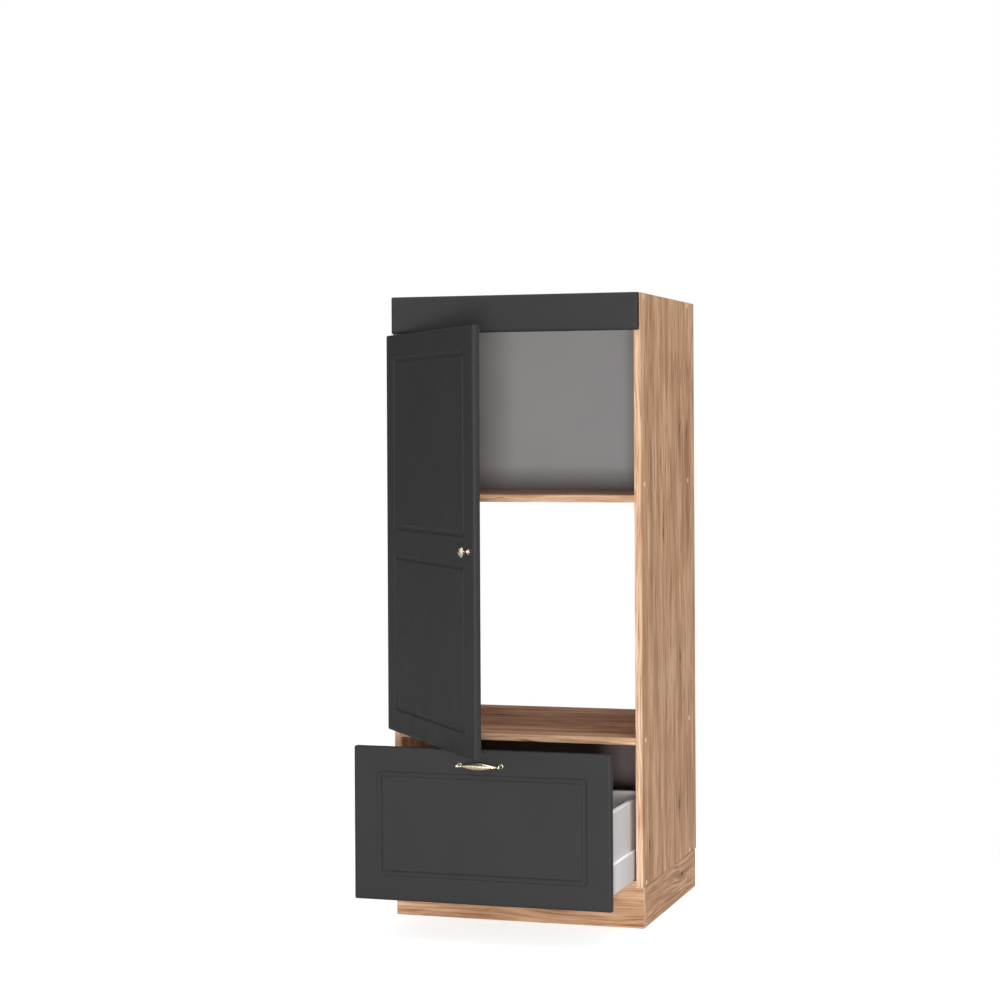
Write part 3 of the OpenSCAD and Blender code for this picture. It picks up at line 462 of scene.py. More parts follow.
@dataclass(frozen=True)
class AgedBrass(Finish):
    """Brass that is bright where it is rubbed and brown in patches."""

    name: str = "antique_brass"
    bright: Rgb = (232, 222, 196)
    dull: Rgb = (196, 182, 150)
    patina: Rgb = (104, 88, 62)

    def paint(self, sheet: Surface) -> None:
        """Wires the brass.

        Args:
            sheet: The material's nodes.
        """
        clouds = sheet.noise(sheet.place, even(90.0), 4.0, 0.6)
        colour = sheet.ramp(clouds, (0.34, self.dull), (0.58, self.bright))
        spots = sheet.noise(sheet.place, even(380.0), 3.0, 0.65)
        colour = sheet.blend(sheet.rise(spots, 0.58, 0.78, 0.0, 0.35), colour, linear(self.patina))
        sheet.set(Base_Color=colour, Metallic=1.0, Roughness=sheet.rise(spots, 0.35, 0.75, 0.20, 0.46))
        sheet.bump(sheet.noise(sheet.place, (1400.0, 260.0, 260.0)), 0.00002, 0.4)


@dataclass
class Finishes:
    """Every finish of the cabinet, each made once."""

    made: dict[str, bpy.types.Material] = field(default_factory=dict, init=False)

    oak_upright = OakDecor("oak_upright", Grain.ALONG_Z)
    oak_level = OakDecor("oak_level", Grain.ALONG_X, (180, 134, 100), (222, 177, 142), (240, 200, 165),
                         (118, 78, 51), veins=0.9, shift=(0.37, 0.21, 0.4))
    oak_plinth = OakDecor("oak_plinth", Grain.ALONG_X, shift=(1.2, 0.6, 0.9))
    oak_plinth_side = OakDecor("oak_plinth_side", Grain.ALONG_Y, shift=(0.5, 0.3, 1.7))
    band_upright = OakDecor("oak_band_upright", Grain.ALONG_Z, (206, 165, 133), (231, 192, 159),
                            (243, 210, 179), (172, 127, 93), (112, 76, 52), 0.6, 0.3, (0.3, 0.1, 0.6))
    band_level = OakDecor("oak_band_level", Grain.ALONG_X, (192, 149, 116), (222, 182, 148),
                          (236, 199, 167), (124, 83, 55), (112, 76, 52), 0.9, 0.3, (0.9, 0.4, 0.2))
    chipboard = Chipboard()
    foil = Sheen("anthracite_foil", (53, 53, 53), (51, 51, 51), (0.52, 0.58), specular=0.14,
                 grain=even(1600.0), grain_depth=0.00002, clouds=even(5.0))
    # The lower back panel is the grey back panel made darker and browner: painted shade for the dim drawer
    # bay.
    lower_panel_painted_shade = Sheen("back_panel_painted_shade", (134, 117, 115), (127, 111, 109), (0.46, 0.56),
                        specular=0.3, clouds=even(4.0))
    grey_panel = Sheen("grey_back_panel", (166, 168, 169), (160, 162, 163), (0.46, 0.56),
                       specular=0.3, clouds=even(4.0))
    drawer_metal = Sheen("grey_drawer_metal", (208, 205, 206), (201, 198, 199), (0.38, 0.48),
                         specular=0.4, grain=even(2200.0))
    drawer_board = Sheen("grey_drawer_board", (220, 216, 217), (213, 209, 210), (0.48, 0.60),
                         specular=0.3, grain=even(1300.0), grain_depth=0.00005)
    # Near-white painted light: a painted highlight on the drawer sides' upward faces, and painted light over
    # the shade of the drawer's floor and back.
    drawer_painted_light = Sheen("white_drawer_painted_light", (250, 250, 250), (246, 246, 246), (0.30, 0.40))
    zinc = Sheen("zinc_plated_steel", (196, 199, 205), (165, 168, 176), (0.28, 0.44), 1.0,
                 flecks=(216, 214, 196), fleck_scale=420.0)
    nickel = Sheen("nickel_plated_steel", (190, 188, 183), (168, 166, 160), (0.20, 0.34), 1.0,
                   grain=(300.0, 300.0, 2600.0))
    galvanised = Sheen("galvanised_runner_steel", (178, 182, 187), (150, 154, 160), (0.32, 0.50), 1.0,
                       grain=(2400.0, 60.0, 2400.0), flecks=(205, 208, 212), fleck_scale=160.0)
    brass = AgedBrass()
    nylon = Sheen("clear_nylon", (226, 227, 222), (214, 215, 208), (0.20, 0.30), through=0.8)
    cap = Sheen("oak_cap_plastic", (255, 230, 192), (250, 222, 184), (0.40, 0.52),
                grain=(1100.0, 1100.0, 180.0))
    beech = OakDecor("beech_wood", Grain.ALONG_X, (206, 170, 128), (222, 188, 146), (232, 202, 162),
                     (188, 148, 108), (150, 108, 72), 0.25, 0.05)

    def get(self, finish: Finish) -> bpy.types.Material:
        """Gives a finish's material and makes it the first time.

        Args:
            finish: The finish.

        Returns:
            Its material.
        """
        if finish.name not in self.made:
            self.made[finish.name] = finish.material()
        return self.made[finish.name]


# ---------------------------------------------------------------- mesh helpers


class Shell:
    """A closed mesh that is gathered from loops of points, in millimetres."""

    def __init__(self) -> None:
        """Starts empty."""
        self.points: list[Point] = []
        self.faces: list[tuple[int, ...]] = []
        self.smooth: list[bool] = []

    def loop(self, points: Iterable[Point]) -> list[int]:
        """Adds points.

        Args:
            points: The points, in order.

        Returns:
            Their numbers.
        """
        start = len(self.points)
        self.points.extend(points)
        return list(range(start, len(self.points)))

    def face(self, numbers: Sequence[int], smooth: bool = False) -> None:
        """Adds one face over the points with these numbers."""
        self.faces.append(tuple(numbers))
        self.smooth.append(smooth)

    def bands(self, loops: Sequence[Sequence[int]]) -> None:
        """Joins each closed loop to the next, smoothly.

        Args:
            loops: Loops with equal numbers of points.
        """
        for a, b in zip(loops, loops[1:]):
            for i in range(len(a)):
                j = (i + 1) % len(a)
                self.face((a[i], a[j], b[j], b[i]), smooth=True)

    def fill(self, loops: Sequence[Sequence[int]]) -> None:
        """Fills an outline that may have holes.

        Args:
            loops: The outline, then its holes.
        """
        numbers = [n for one in loops for n in one]
        for triangle in tessellate_polygon([[Vector(self.points[n]) for n in one] for one in loops]):
            self.face([numbers[i] for i in triangle])

    def piece(self, name: str, body: Body) -> Shape:
        """Makes the object at rest, at the origin and with its faces outwards.

        Args:
            name: The object's name.
            body: The body that it stands with.

        Returns:
            The new object.
        """
        mesh = bpy.data.meshes.new(name)
        mesh.from_pydata(placed(self.points, body), [], self.faces)
        mesh.polygons.foreach_set("use_smooth", self.smooth)
        return linked(name, outwards(mesh))


def placed(points: Iterable[Point], body: Body) -> list[Point]:
    """Moves points of the closed cabinet to where a body rests, in metres."""
    return [tuple(MM * c for c in body.rest() @ Vector(p)) for p in points]


def outwards(mesh: bpy.types.Mesh) -> bpy.types.Mesh:
    """Merges a mesh's double points and turns its faces outwards.

    Args:
        mesh: The mesh.

    Returns:
        The same mesh.
    """
    work = bmesh.new()
    work.from_mesh(mesh)
    bmesh.ops.remove_doubles(work, verts=work.verts, dist=1e-6)
    bmesh.ops.recalc_face_normals(work, faces=work.faces)
    work.to_mesh(mesh)
    work.free()
    mesh.update()
    return mesh


def linked(name: str, data: bpy.types.ID) -> Shape:
    """Makes an object in the scene for a mesh, lamp or camera.

    Args:
        name: The object's name.
        data: What it shows.

    Returns:
        The new object.
    """
    shape = bpy.data.objects.new(name, data)
    bpy.context.scene.collection.objects.link(shape)
    return shape


def circle(radius: float, steps: int) -> list[Flat]:
    """The points of a circle round the origin."""
    angles = [math.tau * i / steps for i in range(steps)]
    return [(radius * math.cos(a), radius * math.sin(a)) for a in angles]


def rounded(x0: float, x1: float, z0: float, z1: float, radius: float, steps: int = 5) -> list[Flat]:
    """The points of a rectangle with round corners.

    Args:
        x0: Its left side.
        x1: Its right side.
        z0: Its lower side.
        z1: Its upper side.
        radius: The corners' radius.
        steps: The steps round each corner.

    Returns:
        The points, from the lower left corner anticlockwise.
    """
    r = max(0.05, min(radius, (x1 - x0) / 2, (z1 - z0) / 2))
    corners = ((x0 + r, z0 + r, 180), (x1 - r, z0 + r, 270), (x1 - r, z1 - r, 0), (x0 + r, z1 - r, 90))
    points = []
    for x, z, start in corners:
        angles = [math.radians(start + 90 * i / steps) for i in range(steps + 1)]
        points += [(x + r * math.cos(a), z + r * math.sin(a)) for a in angles]
    return points


def eased(outline: Sequence[Flat], radius: float, steps: int = 3) -> list[Flat]:
    """Rounds the corners of a polygon.

    Args:
        outline: Its corners.
        radius: How far each corner is cut back along its sides.
        steps: The steps round each corner.

    Returns:
        The rounded outline.
    """
    points: list[Flat] = []
    for i, corner in enumerate(outline):
        here = Vector(corner)
        before, after = (Vector(outline[n % len(outline)]) - here for n in (i - 1, i + 1))
        start, end = (here + way.normalized() * min(radius, way.length / 2.2) for way in (before, after))
        for t in (k / steps for k in range(steps + 1)):
            spot = start * (1 - t) ** 2 + here * 2 * t * (1 - t) + end * t**2
            points.append((spot.x, spot.y))
    return points


def prism(shell: Shell, outlines: Sequence[Sequence[Flat]], ys: Flat, side: int, bevel: float = 0.0) -> None:
    """Adds a straight section along Y with any holes, whose ends may have a small bevel.

    Args:
        shell: The mesh that it goes into.
        outlines: The outline in X and Z, then its holes.
        ys: Where it starts and ends.
        side: -1 for the left of the cabinet, where it is mirrored, and 1 for the right.
        bevel: The bevel at the ends of the outline.
    """
    start, end = ys
    ends: list[list[list[int]]] = [[], []]
    for number, outline in enumerate(outlines):
        ease = 0.0 if number else bevel
        middle = sum((Vector(p) for p in outline), Vector((0.0, 0.0))) / len(outline)
        small = [Vector(p) + (middle - Vector(p)).normalized() * ease for p in outline]
        inner = [(start + ease, outline), (end - ease, outline)] if ease else []
        stations = [(start, small), *inner, (end, small)]
        rows = [shell.loop((side * x, y, z) for x, z in points) for y, points in stations]
        shell.bands(rows)
        ends[0].append(rows[0])
        ends[1].append(rows[-1])
    for cap in ends:
        shell.fill(cap)


def turned(shell: Shell, outline: Sequence[Flat], base: Point, steps: int = 48) -> None:
    """Adds a turned part that stands out from a front, towards -Y.

    Args:
        shell: The mesh that it goes into.
        outline: Radius and height of each point, from the foot to the tip.
        base: The middle of its foot.
        steps: The steps round it.
    """
    x, y, z = base
    rows = [shell.loop((x + a, y - height, z + b) for a, b in circle(r, steps)) for r, height in outline]
    shell.bands(rows)
    shell.face(rows[0])
    shell.face(rows[-1], smooth=True)


# ---------------------------------------------------------------- pieces and their places


@dataclass
class Piece:
    """One finished object, the body that it rides on and the node that it stands for."""

    shape: Shape
    body: Body
    slot: Slot
    node: str

    def settle(self) -> None:
        """Tells the frame about the piece and reports it."""
        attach(self.shape, self.body.value)
        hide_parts(self.node)
        LOG.info("%s on %s: %d faces", self.shape.name, self.body.value, len(self.shape.data.polygons))


@dataclass
class SubAssembly:
    """Pieces that are built and dressed together."""

    finishes: Finishes
    pieces: list[Piece] = field(default_factory=list, init=False)

    def keep(self, shape: Shape, body: Body, slot: Slot, node: str, *finishes: Finish) -> Shape:
        """Notes a piece and gives it its finishes.

        Args:
            shape: Its object.
            body: The body that it rides on.
            slot: The material slot of the record.
            node: The node that it stands for.
            finishes: Its finishes, or none where it already has them.

        Returns:
            The same object.
        """
        self.coat(shape, *finishes)
        self.pieces.append(Piece(shape, body, slot, node))
        return shape

    def coat(self, shape: Shape, *finishes: Finish) -> None:
        """Gives an object its finishes, in the order of its faces' numbers.

        Args:
            shape: The object.
            finishes: The finishes that take the place of its own.
        """
        if finishes and len(shape.data.materials):
            shape.data.materials.clear()
        for finish in finishes:
            shape.data.materials.append(self.finishes.get(finish))

    def carry(self, nodes: dict[str, Shape], finish: Finish, *names: str) -> None:
        """Gives nodes that stay as they are their finish.

        Args:
            nodes: The frame's nodes by name.
            finish: Their finish.
            names: The names of those nodes.
        """
        for name in names:
            self.coat(nodes[name], finish)
            LOG.info("%s stays, with %s", name, finish.name)


# ---------------------------------------------------------------- boards


@dataclass
class Board:
    """A board with eased edges, a band on some of them and its bare core on others."""

    node: str
    banded: tuple[Side, ...] = (Side.FRONT,)
    bare: tuple[Side, ...] = ()
    ease: float = 0.5
    band: float = 0.8
    skin: float = 0.1

    def build(self) -> Shape:
        """Builds the board in its node's box.

        Returns:
            The new object, whose finishes are the board, its bands and its core.
        """
        lo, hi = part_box(self.node)
        work = bmesh.new()
        bmesh.ops.create_cube(work, size=1.0)
        for vert in work.verts:
            vert.co = Vector(((lo + hi) / 2)[i] + vert.co[i] * (hi - lo)[i] for i in range(3))
        offset = self.ease * MM
        bmesh.ops.bevel(work, geom=list(work.edges), offset=offset, segments=2, profile=0.5, affect="EDGES")
        for axis, sign in (side.value for side in self.banded):
            cut, normal = Vector((0.0, 0.0, 0.0)), Vector((0.0, 0.0, 0.0))
            cut[axis] = (hi[axis] - self.band * MM) if sign > 0 else (lo[axis] + self.band * MM)
            normal[axis] = 1.0
            whole = work.verts[:] + work.edges[:] + work.faces[:]
            bmesh.ops.bisect_plane(work, geom=whole, plane_co=cut, plane_no=normal)
        for face in work.faces:
            face.material_index = self.finish_of(face, lo, hi)
        bmesh.ops.recalc_face_normals(work, faces=work.faces)
        mesh = bpy.data.meshes.new(self.node + "_board")
        work.to_mesh(mesh)
        work.free()
        return linked(self.node + "_board", mesh)

    def finish_of(self, face: bmesh.types.BMFace, lo: Vector, hi: Vector) -> int:
        """The number of a face's finish.

        Args:
            face: The face.
            lo: The board's lowest corner.
            hi: Its highest corner.

        Returns:
            0 for the board, 1 for a band, 2 for the bare core.
        """
        middle = face.calc_center_median()
        for number, sides, reach in ((1, self.banded, self.band), (2, self.bare, self.skin)):
            for axis, sign in (side.value for side in sides):
                depth = (hi[axis] - middle[axis]) if sign > 0 else (middle[axis] - lo[axis])
                if depth < reach * MM:
                    return number
        return 0


@dataclass
class Carcass(SubAssembly):
    """The carcass and plinth boards, with the nodes of the carcass that stay as they are."""

    plinth_ease: float = 1.2

    def build(self) -> None:
        """Builds the boards."""
        f, below, soft = self.finishes, (Side.BELOW,), self.plinth_ease
        for node in ("side_left", "side_right"):
            board = Board(node, bare=(Side.REAR, Side.ABOVE, Side.BELOW))
            self.board(board, f.oak_upright, f.band_upright)
        for node in ("top_panel", "upper_shelf", "niche_floor", "bottom_panel"):
            self.board(Board(node, bare=(Side.REAR,)), f.oak_level, f.band_level)
        front = Board("plinth_front", (Side.LEFT, Side.RIGHT), below, soft)
        for board in (front, Board("plinth_back", (), below)):
            self.board(board, f.oak_plinth, f.band_upright)
        for node in ("plinth_left", "plinth_right"):
            board = Board(node, (), (Side.BELOW, Side.REAR), soft)
            self.board(board, f.oak_plinth_side, f.band_upright)

    def board(self, board: Board, oak: Finish, band: Finish) -> None:
        """Builds one board in its oak, its band and its bare core."""
        core = self.finishes.chipboard
        self.keep(board.build(), Body.CARCASS, Slot.OAK, board.node, oak, band, core)

    def dress(self, nodes: dict[str, Shape]) -> None:
        """Dresses the nodes that stay.

        Args:
            nodes: The frame's nodes by name.
        """
        f = self.finishes
        self.carry(nodes, f.grey_panel, "back_upper")
        # The lower back panel takes the painted-shade copy of the grey panel.
        self.carry(nodes, f.lower_panel_painted_shade, "back_lower")
        self.carry(nodes, f.zinc, "fascia_brackets", "wall_brackets", "cam_bolts")
        self.carry(nodes, f.beech, "dowels", "plinth_blocks")


# ---------------------------------------------------------------- fronts


@dataclass(frozen=True)
class Field:
    """A field of a front, with the routed groove round it."""

    left: float
    right: float
    bottom: float
    top: float


@dataclass
class MilledFront:
    """A foil-wrapped front with a moulded edge, routed grooves and pockets at its back."""

    node: str
    name: str
    body: Body
    fields: tuple[Field, ...] = ()
    pocket_zs: tuple[float, ...] = ()
    pocket_r: float = 17.55
    pocket_depth: float = 12.1
    pocket_steps: int = 40
    corner: float = 3.0
    back_ease: float = 0.6
    groove_corner: float = 8.0
    groove_corner_least: float = 1.5
    groove_corner_fall: float = 0.45
    edge: tuple[Flat, ...] = (
        (0.0, 5.2), (0.12, 3.9), (0.5, 2.8), (1.1, 1.9), (2.0, 1.15), (3.1, 0.7), (4.3, 0.5),
        (5.0, 0.45), (5.35, 0.25), (5.7, 0.05), (6.1, 0.0),
    )
    groove: tuple[Flat, ...] = (
        (0.0, 0.0), (0.35, 0.1), (0.8, 0.6), (1.25, 1.4), (1.8, 2.2), (2.7, 2.75), (4.0, 3.0),
        (8.4, 3.0), (10.2, 2.85), (11.3, 2.3), (12.1, 1.4), (12.7, 0.6), (13.3, 0.14), (14.0, 0.0),
    )

    def __post_init__(self) -> None:
        """Takes its height from its node."""
        self.bottom, self.top = (corner.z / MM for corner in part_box(self.node))

    def build(self) -> Shape:
        """Builds the front.

        Returns:
            The new object.
        """
        shell = Shell()
        outline = self.ring(shell, 0.0, BACK_Y - self.back_ease)
        rows = [self.ring(shell, self.back_ease, BACK_Y), outline]
        rows += [self.ring(shell, inset, FACE_Y + depth) for inset, depth in self.edge]
        shell.bands(rows)
        shell.fill([rows[-1], *[self.routed(shell, one) for one in self.fields]])
        shell.fill([rows[0], *[self.pocket(shell, z) for z in self.pocket_zs]])
        return shell.piece(self.name, self.body)

    def ring(self, shell: Shell, inset: float, y: float) -> list[int]:
        """Adds a loop at a distance inside the front's edges and a place in depth."""
        box = (inset - FRONT_HALF, FRONT_HALF - inset, self.bottom + inset, self.top - inset)
        return shell.loop((x, y, z) for x, z in rounded(*box, self.corner))

    def routed(self, shell: Shell, area: Field) -> list[int]:
        """Adds a groove and the field inside it.

        Args:
            shell: The front's mesh.
            area: The field.

        Returns:
            The groove's outer loop.
        """
        rows = []
        for inset, depth in self.groove:
            corner = max(self.groove_corner_least, self.groove_corner - self.groove_corner_fall * inset)
            box = (area.left + inset, area.right - inset, area.bottom + inset, area.top - inset)
            rows.append(shell.loop((x, FACE_Y + depth, z) for x, z in rounded(*box, corner)))
        shell.bands(rows)
        shell.fill([rows[-1]])
        return rows[0]

    def pocket(self, shell: Shell, height: float) -> list[int]:
        """Adds the pocket of a hinge cup.

        Args:
            shell: The front's mesh.
            height: The height of its middle.

        Returns:
            The loop of its mouth.
        """
        ring = circle(self.pocket_r, self.pocket_steps)
        ys = (BACK_Y, BACK_Y - self.pocket_depth)
        rows = [shell.loop((CUP_X + x, y, height + z) for x, z in ring) for y in ys]
        shell.bands(rows)
        shell.fill([rows[1]])
        return rows[0]


@dataclass
class Fronts(SubAssembly):
    """The fascia, the door and the drawer front."""

    stile: float = 54.0
    door_rail: float = 51.0
    midrail_half: float = 28.0

    def build(self) -> None:
        """Builds the three fronts."""
        inner = FRONT_HALF - self.stile
        fascia = MilledFront("fascia", "fascia_front", Body.CARCASS)
        door = MilledFront("door", "door_front", Body.DOOR, pocket_zs=HINGE_ZS)
        lower = (door.bottom + self.door_rail, MIDRAIL_Z - self.midrail_half)
        upper = (MIDRAIL_Z + self.midrail_half, door.top - self.door_rail)
        door.fields = tuple(Field(-inner, inner, *heights) for heights in (lower, upper))
        drawer = MilledFront("drawer_front", "drawer_front_panel", Body.DRAWER)
        drawer.fields = (Field(-inner, inner, drawer.bottom + self.stile, drawer.top - self.stile),)
        for front in (fascia, door, drawer):
            self.keep(front.build(), front.body, Slot.FRONT, front.node, self.finishes.foil)


# ---------------------------------------------------------------- geometry node trees


FLOAT = "NodeSocketFloat"
WHOLE = "NodeSocketInt"
VECTOR = "NodeSocketVector"


class Tree(NodeSheet):
    """A geometry node tree with named inputs, made for one kind of piece."""

    def __init__(self, name: str, inputs: dict[str, str]) -> None:
        """Starts the tree.

        Args:
            name: The tree's name.
            inputs: The kind of each named input.
        """
        super().__init__(bpy.data.node_groups.new(name, "GeometryNodeTree"))
        face = self.tree.interface
        self.ids: dict[str, str] = {}
        for key, kind in {"Points": "NodeSocketGeometry", **inputs, "Finish": "NodeSocketMaterial"}.items():
            self.ids[key] = face.new_socket(key, in_out="INPUT", socket_type=kind).identifier
        face.new_socket("Geometry", in_out="OUTPUT", socket_type="NodeSocketGeometry")
        self.inputs = self.add("NodeGroupInput").outputs

    def moved(self, geometry: Socket, place: Socket) -> Socket:
        """Moves a geometry."""
        return self.out("GeometryNodeTransform", {"Geometry": geometry, "Translation": place})

    def cone(self, low: object, high: object, height: object, z: object, sides: int = 24) -> Socket:
        """Adds a straight or tapered round bar from its foot's radius, top's radius, height and foot."""
        sizes = {"Vertices": sides, "Radius Bottom": low, "Radius Top": high, "Depth": height}
        return self.moved(self.out("GeometryNodeMeshCone", sizes), self.point(z=z))

    def block(self, x: object, y: object, z: object, height: object) -> Socket:
        """Adds a block from its three sizes and the height of its centre."""
        cube = self.out("GeometryNodeMeshCube", {"Size": self.point(x, y, z)})
        return self.moved(cube, self.point(z=height))

    def join(self, *parts: Socket) -> Socket:
        """Joins geometries."""
        return self.out("GeometryNodeJoinGeometry", {0: list(parts)})

    def scatter(self, part: Socket, seed: int | None) -> None:
        """Puts a part on every point, turned along the point's aim, and ends the tree.

        Args:
            part: The part, which is drawn along +Z.
            seed: The seed of each part's own turn, or None for no turn.
        """
        aim = self.out("GeometryNodeInputNamedAttribute", {"Name": "aim"}, data_type="FLOAT_VECTOR")
        turn = self.out("FunctionNodeAlignRotationToVector", {"Vector": aim}, axis="Z")
        if seed is not None:
            inputs = {"Min": 0.0, "Max": math.pi, "Seed": seed}
            angle = self.add("FunctionNodeRandomValue", inputs, data_type="FLOAT").outputs["Value"]
            own = self.out("FunctionNodeEulerToRotation", {0: self.point(z=angle)})
            turn = self.out("FunctionNodeRotateRotation", {0: turn, 1: own}, rotation_space="LOCAL")
        inputs = {"Points": self.inputs["Points"], "Instance": part, "Rotation": turn}
        self.end(self.out("GeometryNodeInstanceOnPoints", inputs))

    def end(self, geometry: Socket) -> None:
        """Makes instances real, sets the finish and ends the tree.

        Args:
            geometry: What the tree has made.
        """
        real = self.out("GeometryNodeRealizeInstances", {0: geometry})
        inputs = {"Geometry": real, "Material": self.inputs["Finish"]}
        self.add("NodeGroupOutput", {0: self.out("GeometryNodeSetMaterial", inputs)})

    def run(self, name: str, base: bpy.types.Mesh, values: dict[str, object]) -> Shape:
        """Runs the tree on a mesh and keeps the result as a plain mesh.

        Args:
            name: The new object's name.
            base: The mesh that the tree starts from.
            values: The value of each named input.

        Returns:
            The new object.
        """
        carrier = linked(name + "_source", base)
        modifier = carrier.modifiers.new(name, "NODES")
        modifier.node_group = self.tree
        for key, value in values.items():
            modifier[self.ids[key]] = value
        bpy.context.view_layer.update()
        graph = bpy.context.evaluated_depsgraph_get()
        mesh = bpy.data.meshes.new_from_object(carrier.evaluated_get(graph))
        mesh.name = name
        carrier.modifiers.clear()
        bpy.data.objects.remove(carrier)
        return linked(name, mesh)


class ScrewTree(Tree):
    """Cross-head screws: a rounded head with a recess, a ribbed shank and a tip."""

    def __init__(self) -> None:
        """Builds the tree."""
        super().__init__("Screws", {"Head Radius": FLOAT, "Head Height": FLOAT, "Shank Radius": FLOAT,
                                    "Thread Pitch": FLOAT, "Turns": WHOLE, "Tip Length": FLOAT})
        times, i = self.times, self.inputs
        radius, height = i["Head Radius"], i["Head Height"]
        shank, pitch = i["Shank Radius"], i["Thread Pitch"]
        half, top = times(height, 0.5), times(height, -1.0)
        rim = self.cone(radius, radius, half, times(height, -0.5))
        crown = self.cone(times(radius, 0.72), radius, half, top)
        long, thin, deep = times(radius, 1.15), times(radius, 0.24), times(height, 0.8)
        bars = [self.block(long, thin, deep, top), self.block(thin, long, deep, top)]
        inputs = {"Mesh 1": crown, "Mesh 2": bars}
        cross = self.out("GeometryNodeMeshBoolean", inputs, operation="DIFFERENCE", solver="EXACT")
        rib = self.cone(times(shank, 0.82), shank, pitch, 0.0, 12)
        line = self.out("GeometryNodeMeshLine", {"Count": i["Turns"], "Offset": self.point(z=pitch)})
        ribs = self.out("GeometryNodeInstanceOnPoints", {"Points": line, "Instance": rib})
        foot = times(pitch, i["Turns"])
        tip = self.cone(times(shank, 0.9), times(shank, 0.3), i["Tip Length"], foot, 12)
        self.scatter(self.join(rim, cross, ribs, tip), seed=7)


class CapTree(Tree):
    """Press-on caps and bumpers: a round foot with a low dome."""

    def __init__(self) -> None:
        """Builds the tree."""
        super().__init__("Caps", {"Radius": FLOAT, "Foot": FLOAT, "Dome": FLOAT})
        times = self.times
        radius, foot, dome = (self.inputs[n] for n in ("Radius", "Foot", "Dome"))
        waist, bend = times(radius, 0.88), times(dome, 0.6)
        base = self.cone(radius, radius, foot, times(foot, -1.0), 32)
        low = self.cone(radius, waist, bend, 0.0, 32)
        high = self.cone(waist, times(radius, 0.55), times(dome, 0.4), bend, 32)
        self.scatter(self.join(base, low, high), seed=None)


class SpindleTree(Tree):
    """A spindle along X whose radius falls from its middle to its ends by a power of a cosine."""

    def __init__(self) -> None:
        """Builds the tree."""
        super().__init__("Spindle", {"Half Length": FLOAT, "Middle Radius": FLOAT, "End Radius": FLOAT,
                                     "Power": FLOAT, "Place": VECTOR})
        m, times, i = self.maths, self.times, self.inputs
        half = i["Half Length"]
        ends = {"Start": self.point(times(half, -1.0)), "End": self.point(half)}
        line = self.out("GeometryNodeCurvePrimitiveLine", ends)
        fine = self.out("GeometryNodeResampleCurve", {"Curve": line, "Count": 65})
        spot = self.out("ShaderNodeSeparateXYZ", {0: self.out("GeometryNodeInputPosition")})
        share = times(m("DIVIDE", spot, half), math.pi / 2)
        swell = m("POWER", m("MAXIMUM", m("COSINE", share), 0.0), i["Power"])
        rise = m("SUBTRACT", i["Middle Radius"], i["End Radius"])
        radius = self.plus(i["End Radius"], times(rise, swell))
        sized = self.out("GeometryNodeSetCurveRadius", {"Curve": fine, "Radius": radius})
        ring = self.out("GeometryNodeCurvePrimitiveCircle", {"Resolution": 48, "Radius": 1.0})
        inputs = {"Curve": sized, "Profile Curve": ring, "Scale": radius, "Fill Caps": True}
        body = self.moved(self.out("GeometryNodeCurveToMesh", inputs), i["Place"])
        self.end(self.out("GeometryNodeSetShadeSmooth", {"Geometry": body}))


# ---------------------------------------------------------------- handles


